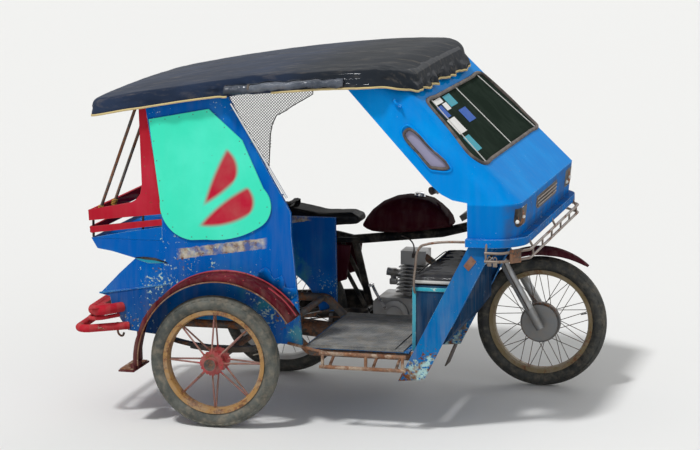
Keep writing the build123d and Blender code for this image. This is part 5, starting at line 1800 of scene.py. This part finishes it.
@dataclass
class BodyFittings:
    """Nails, lashings, rolled edges, torn sheet and small brackets on the sidecar's body."""

    panel: Sequence[tuple[float, float]] = ((-308, 1322), (-180, 1345), (-54, 1371), (24, 1306), (92, 1248),
                                            (140, 1138), (186, 1038), (214, 965), (180, 894), (82, 842),
                                            (-60, 823), (-128, 820), (-214, 860), (-258, 975), (-284, 1150))
    arch_x: float = 30.0
    arch_z: float = 283.0
    arch_r: float = 389.0
    arch_start: float = 33.0
    arch_turn: float = 150.0

    def build(self) -> None:
        """Fit everything."""
        self.nails()
        self.arch()
        self.lashings()
        self.bench_rail()
        self.luggage()
        self.tail()
        self.rails()
        self.scraps()

    def on_arch(self, radius: float, angle: float, y: float) -> Place:
        """A place over the sidecar wheel by radius, angle from level ahead, and Y."""
        a = math.radians(angle)
        return (self.arch_x + radius * math.cos(a), y, self.arch_z + radius * math.sin(a))

    def nails(self) -> None:
        """Nail heads round the painted panel."""
        heads = Shape()
        for (x0, z0), (x1, z1) in zip(self.panel, [*self.panel[1:], self.panel[0]]):
            count = max(1, round(math.hypot(x1 - x0, z1 - z0) / 75))
            for i in range(count):
                x = x0 + (x1 - x0) * i / count
                z = z0 + (z1 - z0) * i / count
                heads.knob((x, SIDE_Y - 7.0, z), 2.6, (1.0, 0.45, 1.0), 6)
        heads.piece("panel_nails", Finish.NAIL)

    def arch(self) -> None:
        """The bent strip over the sidecar wheel, its rolled edge, wire and foot, and the torn flap above."""
        strip = Shape()
        profile = [strip.bm.verts.new(at(*self.on_arch(self.arch_r + rise, self.arch_start, y)))
                   for rise, y in ((3, SIDE_Y - 1), (1, 40), (0, -44), (-3, -51), (-20, -53))]
        edges = [strip.bm.edges.new(pair) for pair in zip(profile, profile[1:])]
        bmesh.ops.spin(strip.bm, geom=profile + edges, cent=at(self.arch_x, 0, self.arch_z), axis=(0, -1, 0),
                       angle=math.radians(self.arch_turn), steps=60)
        for vert in strip.bm.verts:
            out = (vert.co - at(self.arch_x, back(vert.co)[1], self.arch_z)).normalized()
            vert.co += out * mm(2.2 * crumple(vert.co, 90.0, 4.0))
        band = thickened(strip.piece("arch_strip", Finish.ARCH_RED, angle=50.0), 2.4, 0.0)
        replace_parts(band, "wheel_arch")
        (Shape()
         .box((-422, -68, 236), (-350, 150, 244), 2.0)
         .box((-398, 122, 240), (-386, 134, 418), 1.5)
         .box((-372, -50, 240), (-354, 60, 268), 1.5)
         .piece("arch_foot", Finish.ARCH_RED))
        # The rolled edge's pink is partly worn paint and partly a painted highlight.
        edge = Shape()
        edge.tube([self.on_arch(self.arch_r + 4, a, 82) for a in range(40, 150, 6)], 5.0, 8)
        edge.tube([self.on_arch(self.arch_r + 3, a, 30) for a in range(34, 60, 5)], 5.0, 8)
        for a in range(38, 150, 12):
            edge.knob(self.on_arch(self.arch_r + 2, a, -30), 4.0, (1, 1, 1), 6)
        edge.piece("arch_rolled_edge", Finish.ARCH_EDGE_HIGHLIGHT)
        (Shape()
         .tube([self.on_arch(self.arch_r - 21, a, -54) for a in range(33, 184, 6)], 3.0, 6)
         .piece("arch_wire", Finish.STEP_RUST))
        torn = Shape()
        made = bmesh.ops.create_grid(torn.bm, x_segments=10, y_segments=2, size=0.5)["verts"]
        for vert in made:
            i = round((vert.co.x + 0.5) * 10)
            lift = 6 + 9 * math.sin(i * 1.7) + 5 * math.sin(i * 3.1)
            spots = ((6, SIDE_Y - 1), (28 + lift, SIDE_Y - 4), (40 + lift * 2, SIDE_Y - 12))
            rise, y = spots[round((vert.co.y + 0.5) * 2)]
            vert.co = at(*self.on_arch(self.arch_r + rise, 44 + i * 2.6, y))
        thickened(torn.piece("body_torn_flap", Finish.TAIL_BLUE, angle=50.0), 1.2, 0.0)

    def lashings(self) -> None:
        """Rope wound round the feet of the stays, and the small fastenings at the tail."""
        for name, y in (("near", SIDE_Y + 70), ("middle", SIDE_Y + 260)):
            route = helix((-577, y, 902), (-568, y, 931), 10.5, 4.0)
            free_cord(f"stay_lashing_{name}", route, 5.0, Finish.ROPE, Body.VEHICLE)
        (Shape()
         .tube([(-500, 160, 408), (-500, 160, 372), (-492, 160, 352), (-478, 160, 348), (-470, 160, 362)], 5.0, 8)
         .box((-500, 120, 396), (-440, 170, 402), 1.0)
         .piece("tail_hook", Finish.DARK_STEEL))
        (Shape()
         .box((-418, -60, 245), (-356, 140, 249), 0.8)
         .rod((-385, -12, 244), (-385, -12, 262), 8.0, sides=6)
         .piece("arch_foot_bolt", Finish.STEP_RUST))

    def luggage(self) -> None:
        """The painted boards: sloping rails round the luggage deck and the two corner pillars."""
        pillar = ((-343, 1430), (-368, 1430), (-356, 1040), (-364, 1000), (-384, 974), (-408, 960), (-605, 920),
                  (-602, 873), (-270, 914), (-266, 955))
        boards, posts = Shape(), Shape()
        for y in (SIDE_Y, LEFT_Y - 18):
            boards.plate(pillar, y, 18)
            boards.plate(((-266, 891), (-266, 865), (-594, 818), (-600, 845)), y, 16)
            for x, low in ((-594, 798), (-364, 826)):
                top = 880 + (x + 594) * 0.13
                posts.box((x, y + 18, low), (x + 9, y + 28, top), 1.0)
        for low, high in ((873, 920), (818, 845)):
            boards.box((-604.5, SIDE_Y + 17, low), (-590, LEFT_Y - 17, high), 1.5)
        painted = boards.piece("luggage_rails", Finish.BOARD_RED)
        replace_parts(painted, "luggage_boards")
        posts.piece("luggage_posts", Finish.BLACK)

    def tail(self) -> None:
        """The deck's blue side flanges, the bumper's plate, and the overlap of sheet under the deck, with a black
        plate as painted shade in its slit.
        """
        blue = Shape()
        for y in (SIDE_Y, LEFT_Y - 10):
            blue.plate(((-592, 796), (-266, 796), (-266, 858), (-430, 830)), y, 10)
        blue.slab([(-557, SIDE_Y - 5, 549), (-558, SIDE_Y - 5, 556), (-226, SIDE_Y - 2, 608), (-226, SIDE_Y - 2, 604)],
                  (0, 5, 0))
        blue.piece("tail_flanges", Finish.TAIL_BLUE)
        (Shape()
         .slab([(-452, 90, 497), (-566, -34, 497), (-588, 279, 497), (-588, 679, 497), (-572, 1006, 497),
                (-452, 868, 497), (-503, 868, 497), (-503, 90, 497)], (0, 0, 4))
         .piece("bumper_plate", Finish.PIPE_RED))
        (Shape()
         .plate(((-392, 713), (-350, 716), (-300, 713), (-250, 700), (-285, 695), (-330, 694), (-360, 702)),
                SIDE_Y - 1.5, 1.5)
         .piece("tail_overlap", Finish.TEAL))
        # Painted shade: a black plate in the slit where the two sheets overlap.
        (Shape()
         .plate(((-392, 717), (-350, 722), (-300, 719), (-248, 703), (-240, 697), (-300, 708), (-350, 711)),
                SIDE_Y - 2.5, 2.5)
         .piece("tail_overlap_gap", Finish.BLACK))

    def rails(self) -> None:
        """The slim bright rail on the side's front edge and the arm rail by the front bench."""
        y = SIDE_Y - 18
        rail = Shape()
        rail.rod((57, y, 1412), (306, y, 1009), 5.0)
        for x, z in ((70, 1391), (155, 1253), (294, 1028)):
            rail.rod((x, y, z), (x - 18, SIDE_Y + 2, z - 12), 3.5)
        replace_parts(rail.piece("grab_rail", Finish.BRIGHT), "handholds")
        arm = SIDE_Y + 24
        (Shape()
         .tube([(860, arm + 26, 600), (858, arm + 4, 632), (864, arm, 720), (884, arm, 812), (906, arm, 824),
                (1073, arm, 842), (1104, arm - 16, 842)], 5.5, 10)
         .piece("arm_rail", Finish.RAIL))

    def bench_rail(self) -> None:
        """The teal angle round the front bench's box."""
        y = SIDE_Y + 43
        (Shape()
         .box((848, y - 4, 618), (1064, y + 8, 634), 1.5)
         .box((848, y - 4, 352), (864, y + 8, 620), 1.5)
         .box((846, y, 618), (856, LEFT_Y - 46, 634), 1.5)
         .piece("bench_box_rail", Finish.TEAL))

    def scraps(self) -> None:
        """The rusty fastening under the roof's edge and the brown patch on the near leg's head."""
        patch = Shape()
        patch.plate(((1080, 744), (1112, 788), (1136, 764), (1102, 722)), SIDE_Y - 2.5, 2.5)
        for x, z in ((1092, 750), (1122, 768)):
            patch.knob((x, SIDE_Y - 3, z), 4.0, (1, 0.5, 1), 6)
        patch.piece("leg_patch", Finish.STRAW)
        (Shape()
         .box((40, SIDE_Y - 52, 1448), (50, SIDE_Y - 49, 1492), 0.8)
         .rod((45, SIDE_Y - 54, 1456), (45, SIDE_Y - 46, 1456), 4.0)
         .piece("roof_edge_strap", Finish.STEP_RUST))


@dataclass
class NoseFittings:
    """What is fixed on the nose: window lips, a hook, blank papers, lamps, a clamp and rivets."""

    crease_x: float = 1315.0
    crease_z: float = 1012.0
    top_x: float = 753.0
    top_z: float = 1545.0
    corner_r: float = 115.0
    foot_x: float = 1300.0
    foot_z: float = 862.0
    foot_lean: float = 0.1
    rail_z: float = 808.0
    tray_z: float = 844.0
    quarter: Sequence[tuple[float, float]] = ((1003, 1161), (949, 1161), (934, 1163), (924, 1172), (880, 1221),
                                              (824, 1284), (818, 1297), (823, 1312), (839, 1323), (857, 1318),
                                              (930, 1250), (1009, 1177), (1011, 1166))

    def front(self, y: float, z: float, behind: float) -> Place:
        """A place on the raked front, some distance behind its outer face."""
        x = self.crease_x + (self.top_x - self.crease_x) * (z - self.crease_z) / (self.top_z - self.crease_z)
        return (x - behind * 1.4, y, z)

    def build(self) -> None:
        """Fit everything."""
        self.lips()
        self.papers()
        self.lamps()
        self.clamps()

    def lips(self) -> None:
        """The pressed lip round each side window, and the hook under the roof's corner."""
        lip = Shape()
        for y in (SIDE_Y - 2, CAB_LEFT_Y + 2):
            lip.tube([self.about_window(spot, 1.13, y) for spot in self.quarter], 5.0, 8, closed=True)
        lip.piece("window_lips", Finish.NOSE_BLUE, angle=80.0)
        self.rubbers()
        (Shape()
         .rod((802, SIDE_Y - 1, 1418), (806, SIDE_Y - 26, 1426), 6.5, 5.0)
         .tube([(776, SIDE_Y - 2, 1446), (780, SIDE_Y - 10, 1440), (788, SIDE_Y - 12, 1430),
                (796, SIDE_Y - 4, 1420)], 5.5, 8)
         .piece("roof_tie_hook", Finish.NOSE_BLUE))

    def rounded(self, x: float, y: float, z: float) -> Place:
        """A place on the front's skin, drawn back round the nose's corners."""
        over = max(SIDE_Y + self.corner_r - y, y - CAB_LEFT_Y + self.corner_r, 0.0)
        return (x - self.corner_r + math.sqrt(self.corner_r ** 2 - over ** 2), y, z)

    def wrapped(self, y: float, z: float) -> Place:
        """A place on the upper front's skin."""
        return self.rounded(self.front(y, z, 0.0)[0], y, z)

    def about_window(self, spot: tuple[float, float], scale: float, y: float) -> Place:
        """A place on a ring round the side window, scaled about the window's middle.

        Args:
            spot: a corner of the window's outline.
            scale: of the ring.
            y: the ring's Y.

        Returns:
            The place.
        """
        x, z = spot
        middle_x = sum(x for x, _ in self.quarter) / len(self.quarter)
        middle_z = sum(z for _, z in self.quarter) / len(self.quarter)
        return (middle_x + (x - middle_x) * scale, y, middle_z + (z - middle_z) * (scale + (scale - 1) * 0.4))

    def rubbers(self) -> None:
        """The rubbers round the windscreen and the side windows, and the screen's bright strips."""
        near = ((202, 1172), (178, 1177), (160, 1195), (154, 1220), (158, 1240), (180, 1296), (200, 1347),
                (217, 1391), (235, 1415), (263, 1424))
        across = SIDE_Y + CAB_LEFT_Y
        route = [*near, (450, 1424), (640, 1424), (830, 1424), (1020, 1424), (1210, 1424)]
        route += [(across - y, z) for y, z in reversed(near)]
        route += [(1300, 1172), (1065, 1172), (830, 1172), (595, 1172), (360, 1172)]
        rubber = Shape()
        rubber.tube([self.wrapped(y, z) for y, z in route], 9.0, 10, closed=True)
        for y in (SIDE_Y - 1.5, CAB_LEFT_Y + 1.5):
            rubber.tube([self.about_window(spot, 1.0, y) for spot in self.quarter], 7.0, 8, closed=True)
        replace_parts(rubber.piece("window_rubbers", Finish.RUBBER, angle=80.0), "window_gaskets")
        strips = Shape()
        for low, high in ((240, 330), (830, 830), (1420, 1330)):
            strips.rod(self.wrapped(low, 1176), self.wrapped(high, 1420), 2.6, sides=8)
        strips.piece("window_strips", Finish.STRIP)

    def papers(self) -> None:
        """Blank stickers and cards on the windscreen."""
        sheets = (
            ("paper_white", Finish.CARD, ((330, 1396, 480, 1414), (268, 1283, 415, 1340), (420, 1366, 500, 1392))),
            ("paper_blue", Finish.CARD_BLUE, ((300, 1346, 395, 1390), (560, 1300, 700, 1350))),
            ("paper_teal", Finish.CARD_TEAL, ((255, 1212, 375, 1270), (520, 1370, 660, 1412))),
        )
        for name, finish, boxes in sheets:
            cards = Shape()
            for y0, z0, y1, z1 in boxes:
                lean = 8.0
                outline = [self.front(y0, z0, 3.2), self.front(y1, z0, 3.2), self.front(y1 + lean, z1, 3.2),
                           self.front(y0 + lean, z1, 3.2)]
                cards.slab(outline, (0.6, 0, 0.6))
            cards.piece(name, finish)

    def low_skin(self, y: float, z: float, proud: float = 0.0) -> Place:
        """A place on the lower front's skin."""
        return self.rounded(self.foot_x + self.foot_lean * (z - self.foot_z) + proud, y, z)

    def shade_sheet(self, shape: Shape, left: float, right: float, low: float, high: float) -> None:
        """Add a dark sheet over an opening, painted shade that stands for the hollow behind it, bent round the nose's
        corner, with a rounded lower corner.

        Args:
            shape: what it is added to.
            left: its lower Y.
            right: its higher Y.
            low: its foot.
            high: its top.
        """
        made = bmesh.ops.create_grid(shape.bm, x_segments=12, y_segments=4, size=0.5)["verts"]
        for vert in made:
            u, v = vert.co.x + 0.5, vert.co.y + 0.5
            foot = low + (high - low) * 0.35 * max(0.0, 1 - u * 7) ** 2
            vert.co = at(*self.low_skin(left + (right - left) * u, foot + (high - foot) * v, 0.9))

    def lamps(self) -> None:
        """Dark sheets of painted shade over the lamp holes and the grille's opening, a rusty bowl, two bare bulbs and
        a loose wire in each lamp hole, and the slats.
        """
        dark, bulbs, bowls, wires, slats = Shape(), Shape(), Shape(), Shape(), Shape()
        for left, right in ((138, 306), (1300, 1478)):
            # Painted shade: dark sheets over the lamp holes and the grille's opening.
            self.shade_sheet(dark, left, right, 907, 989)
        self.shade_sheet(dark, 545, 1066, 919, 983)
        for y in (188.0, 1372.0):
            bowls.lathe([(33, 0), (35, 3), (30, 5), (20, 1), (0, 0)], self.low_skin(y + 8, 948, -2),
                        axis=(1, -0.25, 0), steps=28)
            bulbs.knob(self.low_skin(y - 34, 932, 3), 9.0, (1.1, 1, 1), 10)
            bulbs.knob(self.low_skin(y + 30, 946, 5), 8.0, (1.1, 1, 1), 10)
            wires.tube([self.low_skin(y - 30, 924, 2), self.low_skin(y - 10, 914, 6), self.low_skin(y + 18, 924, 5),
                        self.low_skin(y + 34, 940, 3)], 2.0, 6)
        for z, left in ((934, 590), (951, 562), (968, 556)):
            slats.tube([self.low_skin(left, z, 2), self.low_skin(810, z + 1, 4), self.low_skin(1058, z, 2)], 3.2, 6)
        dark.piece("nose_recesses", Finish.BLACK, angle=60.0)
        bulbs.piece("nose_lamp_bulbs", Finish.CARD)
        bowls.piece("nose_lamp_bowls", Finish.LAMP)
        wires.piece("nose_lamp_looms", Finish.RUBBER)
        slats.piece("nose_slats", Finish.RAIL)

    def clamps(self) -> None:
        """The grey bracket at the rail's near corner, rivets along the tray and two bare padlocks."""
        z = self.rail_z
        bracket = Shape()
        turn = Matrix.Rotation(math.radians(52), 4, "Z")
        bracket.box((1270, 110, z - 46), (1330, 118, z + 12), 1.5, turn)
        bracket.box((1272, 120, z + 4), (1328, 144, z + 9), 1.0, turn)
        bracket.rod((1296, 96, z - 14), (1306, 132, z - 14), 6.0, sides=6)
        bracket.piece("rail_bracket", Finish.DARK_STEEL)
        rivets = Shape()
        for x in range(1115, 1200, 28):
            rivets.knob((x, SIDE_Y - 22.6, self.tray_z + 4), 3.0, (1, 0.5, 1), 6)
        for y in range(280, 1400, 80):
            rivets.knob((1334.6, y, self.tray_z + 4), 3.0, (0.5, 1, 1), 6)
        rivets.piece("tray_rivets", Finish.NOSE_BLUE)
        locks = Shape()
        for x, z0 in ((1198, 786), (1222, 784)):
            locks.box((x - 9, SIDE_Y - 34, z0 - 34), (x + 9, SIDE_Y - 26, z0 - 12), 2.0)
            locks.tube([(x - 6, SIDE_Y - 30, z0 - 13), (x - 6, SIDE_Y - 30, z0 + 2), (x, SIDE_Y - 30, z0 + 8),
                        (x + 6, SIDE_Y - 30, z0 + 2), (x + 6, SIDE_Y - 30, z0 - 13)], 2.2, 6)
        locks.piece("rail_padlocks", Finish.RAIL)


@dataclass
class MotorcycleFittings:
    """The tank's smooth skin, covers, levers, pegs, springs and cables of the motorcycle."""

    tank_x: float = 600.0
    tank_z: float = 735.0
    grip_x: float = 774.0
    grip_z: float = 942.0
    grip_half: float = 302.0
    grip_knee: Place = (88, 184, 24)
    headlamp: Place = (1092, BIKE_Y, 806)
    engine: tuple[float, float] = (560, 326)

    def build(self) -> None:
        """Fit everything."""
        self.tank()
        self.guard()
        self.covers()
        self.controls()
        self.springs()
        self.lamps()
        self.stands()

    def tank(self) -> None:
        """The teardrop tank as one smooth skin, with its filler cap."""
        stations = ((-203, -14, 10, 72), (-190, -26, 36, 80), (-165, -36, 68, 92), (-120, -40, 104, 107),
                    (-60, -38, 130, 116), (0, -34, 140, 119), (60, -26, 138, 120), (110, -18, 126, 115),
                    (150, -11, 100, 101), (180, -6, 74, 88), (200, -3, 48, 76), (209, 1, 18, 66))
        rings = [partial(self.tank_ring, *station) for station in stations]
        skin = Shape().loft(rings).piece("tank_skin", Finish.MAROON, angle=75.0)
        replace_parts(skin, "fuel_tank")
        (Shape()
         .lathe([(0, 14), (20, 14), (24, 11), (25, 0), (30, -4)], (self.tank_x + 52, BIKE_Y, self.tank_z + 137),
                axis=(0.05, 0, 1), steps=28)
         .piece("tank_cap", Finish.BRIGHT, angle=40.0))

    def tank_ring(self, dx: float, low: float, high: float, half: float, angle: float) -> Place:
        """A place round the tank at one station.

        Args:
            dx: the station's distance ahead of the tank's middle.
            low: its lowest point above the tank's foot.
            high: its highest point.
            half: half its width.
            angle: round the ring, in radians.

        Returns:
            The place.
        """
        c, s = math.cos(angle), math.sin(angle)
        wide = math.copysign(abs(c) ** 0.72, c) * half
        tall = math.copysign(abs(s) ** 0.8, s)
        middle = (low + high) / 2 - (high - low) * 0.12
        reach = (high - middle) if tall > 0 else (middle - low)
        knee = 0.93 if dx < -60 and tall < 0.3 else 1.0
        return (self.tank_x + dx, BIKE_Y + wide * knee, self.tank_z + middle + reach * tall)

    def guard(self) -> None:
        """The front mudguard: a pressed strip whose front narrows to a blunt point."""
        strip = Shape()
        x, _, z = FRONT_HUB
        for vert in bmesh.ops.create_grid(strip.bm, x_segments=48, y_segments=10, size=0.5)["verts"]:
            along, across = vert.co.x + 0.5, vert.co.y * 2
            spread = min(1.0, along / 0.26) ** 0.75
            radius = 351 - (6 + 28 * spread) * abs(across) ** 3 - 5 * (1 - spread)
            angle = math.radians(51 + 126 * along)
            y = BIKE_Y + (13 + 38 * spread) * across
            vert.co = at(x + radius * math.cos(angle), y, z + radius * math.sin(angle))
        skin = thickened(strip.piece("guard_skin", Finish.MAROON, Body.STEERING, angle=60.0), 2.5, 0.0)
        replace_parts(skin, "front_guard")

    def covers(self) -> None:
        """Round side covers, the carburettor, the kick lever and the plug with its lead."""
        case = Shape()
        x, z = self.engine
        for side, radius, reach in ((-1, 66, 20), (1, 70, 24)):
            face = BIKE_Y + side * 104
            case.lathe([(radius, 0), (radius - 2, side * reach * 0.7), (radius - 14, side * reach),
                        (radius - 26, side * reach), (radius - 30, side * (reach + 4)), (0, side * (reach + 5))],
                       (x, face, z), steps=40)
            case.lathe([(44, 0), (43, side * 12), (36, side * 16), (0, side * 16)], (668, face, 318), steps=32)
            for i in range(6):
                angle = math.tau * i / 6
                bolt_x, bolt_z = x + 58 * math.cos(angle), z + 58 * math.sin(angle)
                case.rod((bolt_x, face, bolt_z), (bolt_x, face + side * reach * 0.95, bolt_z), 5.0, sides=6)
        case.rod((560, BIKE_Y, 498), (498, BIKE_Y, 506), 19.0)
        case.rod((528, BIKE_Y, 520), (528, BIKE_Y, 470), 17.0, 13.0)
        case.box((512, BIKE_Y - 19, 446), (546, BIKE_Y + 19, 474), 4.0)
        case.piece("engine_covers", Finish.ALLOY, angle=32.0)
        Shape().rod((634, BIKE_Y - 56, 590), (642, BIKE_Y - 84, 606), 7.0).piece("plug_cap", Finish.RUBBER)
        lead = [(642, BIKE_Y - 84, 606), (652, BIKE_Y - 106, 628), (644, BIKE_Y - 92, 660),
                (608, BIKE_Y - 50, 678), (570, BIKE_Y - 22, 682)]
        free_cord("plug_lead", lead, 7.0, Finish.RUBBER, Body.VEHICLE)
        (Shape()
         .tube([(520, BIKE_Y - 128, 352), (512, BIKE_Y - 142, 372), (468, BIKE_Y - 150, 452),
                (462, BIKE_Y - 152, 470)], 7.0, 8)
         .rod((462, BIKE_Y - 148, 470), (462, BIKE_Y - 196, 472), 8.0)
         .tube([(646, BIKE_Y + 120, 300), (676, BIKE_Y + 128, 296), (700, BIKE_Y + 132, 300)], 5.5, 8)
         .rod((700, BIKE_Y + 128, 300), (700, BIKE_Y + 168, 300), 8.0)
         .piece("kick_and_gear_levers", Finish.BRIGHT))

    def controls(self) -> None:
        """Grips, levers, perches and the front brake's cable."""
        rubber, bright = Shape(), Shape()
        for side in (-1, 1):
            end = Vector((self.grip_x, BIKE_Y + side * self.grip_half, self.grip_z))
            ahead, out, up = self.grip_knee
            knee = Vector((self.grip_x + ahead, BIKE_Y + side * out, self.grip_z + up))
            run = (knee - end).normalized()
            for i in range(12):
                spot = end + run * (6 + 8.6 * i)
                rubber.rod(spot, spot + run * 5, 17.6, sides=20)
            rubber.rod(end - run * 3, end + run * 3, 18.6, sides=20)
            perch = end + run * 122
            bright.rod(perch - run * 8, perch + run * 8, 15.5, sides=16)
            ahead = Vector((run.y * side, -run.x * side, 0)) * side
            if ahead.x < 0:
                ahead = -ahead
            hinge = perch + ahead * 24
            bright.rod(perch, hinge, 7.0)
            drop = ahead * 16 + Vector((0, 0, -4))
            bright.tube([hinge, hinge - run * 26 + ahead * 10, hinge - run * 70 + ahead * 12,
                         hinge - run * 116 + drop], 4.6, 8)
            bright.knob(hinge - run * 120 + drop, 7.0)
        rubber.piece("grip_rubbers", Finish.RUBBER, Body.STEERING)
        bright.piece("hand_levers", Finish.BRIGHT, Body.STEERING)
        route = [(903, 986, 972), (945, 990, 992), (1004, 1004, 980), (1028, 1010, 880), (1014, 1014, 770),
                 (1052, 1018, 650), (1104, 1020, 540), (1160, 1022, 440), (1196, 1030, 372)]
        free_cord("front_brake_cable", route, 6.0, Finish.RUBBER, Body.STEERING)

    def springs(self) -> None:
        """The wound springs of the rear shock absorbers."""
        coils = Shape()
        for side in (-1, 1):
            y = BIKE_Y + side * 124
            coils.tube(helix((-21, y, 424), (-36, y, 620), 24.0, 9.0, 14), 4.0, 6, curved=False)
            coils.lathe([(14, -10), (27, -8), (27, 6), (14, 8)], (-37, y, 634), axis=(-0.077, 0, 1), steps=24)
        coils.piece("shock_springs", Finish.BRIGHT)

    def lamps(self) -> None:
        """The headlamp's lens, the dial's face, the tail lens and the blank plate."""
        (Shape()
         .lathe([(0, 9), (30, 7.5), (56, 3), (74, -4)], self.headlamp, axis=(1, 0, 0), steps=40)
         .piece("headlamp_lens", Finish.LENS, Body.STEERING, angle=60.0))
        (Shape()
         .lathe([(74, -4), (75, 4), (80, 5), (84, 0), (84, -12)], self.headlamp, axis=(1, 0, 0), steps=40)
         .piece("headlamp_ring", Finish.BRIGHT, Body.STEERING))
        (Shape()
         .lathe([(0, 1.2), (36, 1.2), (38, 0)], (905, BIKE_Y, 918), axis=(-25, 0, 46), steps=32)
         .piece("dial_face", Finish.CARD, Body.STEERING))
        Shape().box((-311, BIKE_Y - 42, 526), (-301, BIKE_Y + 42, 596), 4.0).piece("tail_lens", Finish.RED_LENS)
        (Shape()
         .box((-304, BIKE_Y - 80, 430), (-302, BIKE_Y + 80, 516), 0.5)
         .rod((-306, BIKE_Y - 60, 504), (-300, BIKE_Y - 60, 504), 5.0)
         .rod((-306, BIKE_Y + 60, 504), (-300, BIKE_Y + 60, 504), 5.0)
         .piece("blank_plate", Finish.CARD))

    def stands(self) -> None:
        """Foot pegs with rubbers, the rear brake's pedal and rod, and the folded side stand."""
        steel, rubber = Shape(), Shape()
        for side in (-1, 1):
            steel.rod((478, BIKE_Y + side * 90, 268), (478, BIKE_Y + side * 150, 268), 9.0)
            rubber.rod((478, BIKE_Y + side * 150, 268), (478, BIKE_Y + side * 222, 272), 14.0, 13.0, 10)
        steel.tube([(470, BIKE_Y - 118, 286), (520, BIKE_Y - 130, 276), (610, BIKE_Y - 140, 262),
                    (650, BIKE_Y - 160, 262)], 6.5, 8)
        steel.box((636, BIKE_Y - 186, 258), (668, BIKE_Y - 148, 268), 3.0)
        steel.tube([(452, BIKE_Y - 118, 300), (220, BIKE_Y - 108, 292), (34, BIKE_Y - 100, 250)], 3.5, 8)
        steel.tube([(420, BIKE_Y + 112, 250), (392, BIKE_Y + 150, 236), (200, BIKE_Y + 158, 214),
                    (160, BIKE_Y + 160, 206)], 8.0, 8)
        steel.piece("pedals_and_stand", Finish.DARK_STEEL)
        rubber.piece("peg_rubbers", Finish.RUBBER)


@dataclass
class Studio:
    """The pale floor, the soft light and the camera of the photograph."""

    eye: tuple[float, float, float] = (2.9597, -11.9771, 2.8498)
    azimuth: float = 14.0
    elevation: float = 9.5
    lens: float = 141.43
    lights: Sequence[tuple[str, float, float, Place]] = (
        ("sun", 2.15, 7.0, (-0.30, -0.55, 1.05)), ("fill", 0.28, 50.0, (0.7, -0.9, 0.5)),
        ("back", 0.45, 40.0, (0.2, 0.9, 0.5)))

    def build(self) -> None:
        """Set the studio up."""
        scene = bpy.context.scene
        scene.view_settings.view_transform = "Standard"
        for name in ("Cube", "Light", "Camera"):
            if name in bpy.data.objects:
                bpy.data.objects.remove(bpy.data.objects[name])
        self.floor()
        self.sky()
        for name, energy, size, way in self.lights:
            lamp = bpy.data.lights.new(name, "SUN")
            lamp.energy = energy
            lamp.angle = math.radians(size)
            linked(name, lamp).rotation_euler = Vector(way).to_track_quat("Z", "Y").to_euler()
        camera = bpy.data.cameras.new("camera")
        camera.lens = self.lens
        camera.sensor_width = 36.0
        camera.sensor_fit = "HORIZONTAL"
        camera.clip_end = 200.0
        holder = linked("camera", camera)
        az, el = math.radians(self.azimuth), math.radians(self.elevation)
        right = Vector((math.cos(az), math.sin(az), 0))
        back = Vector((math.sin(az) * math.cos(el), -math.cos(az) * math.cos(el), math.sin(el)))
        turn = Matrix((right, back.cross(right), back)).transposed()
        holder.matrix_world = Matrix.Translation(self.eye) @ turn.to_4x4()
        scene.camera = holder

    def floor(self) -> None:
        """A wide pale floor that keeps the vehicle's shadow."""
        bm = bmesh.new()
        bmesh.ops.create_grid(bm, x_segments=2, y_segments=2, size=60.0)
        mesh = meshed(bm, "floor")
        mesh.materials.append(Recipe("pale_floor").done((0.78, 0.78, 0.77), 0.9))
        linked("floor", mesh)

    def sky(self) -> None:
        """An even white surround, plain to the eye and in reflections, softer as light."""
        world = bpy.data.worlds.new("surround")
        world.use_nodes = True
        tree = world.node_tree
        tree.nodes.clear()
        path = tree.nodes.new("ShaderNodeLightPath")
        seen = Value(tree, path.outputs["Is Camera Ray"])
        for ray in ("Is Glossy Ray", "Is Transmission Ray"):
            seen = seen.most(Value(tree, path.outputs[ray]))
        plane = tree.nodes.new("ShaderNodeBackground")
        plug(tree, plane.inputs["Color"], (0.97, 0.97, 0.96))
        plug(tree, plane.inputs["Strength"], seen * 0.58 + 0.42)
        out = tree.nodes.new("ShaderNodeOutputWorld")
        tree.links.new(plane.outputs[0], out.inputs["Surface"])
        bpy.context.scene.world = world


def main() -> None:
    """Build every sub-assembly in order."""
    logging.basicConfig(level=logging.INFO, format="%(message)s")
    Studio().build()
    dress_nodes()
    Roof().build()
    QuarterScreen().build()
    Seats().build()
    RoadTyre("side_tread", "sidecar_tyre", Body.SIDE, SIDE_HUB, *SIDE_RADII, Finish.SIDE_TYRE, ribs=58).build()
    RoadTyre("rear_tread", "rear_tyre", Body.REAR, REAR_HUB, *BIKE_RADII, Finish.BIKE_TYRE).build()
    RoadTyre("front_tread", "front_tyre", Body.FRONT, FRONT_HUB, *BIKE_RADII, Finish.BIKE_TYRE).build()
    BodyFittings().build()
    NoseFittings().build()
    MotorcycleFittings().build()


if __name__ == "__main__":
    main()
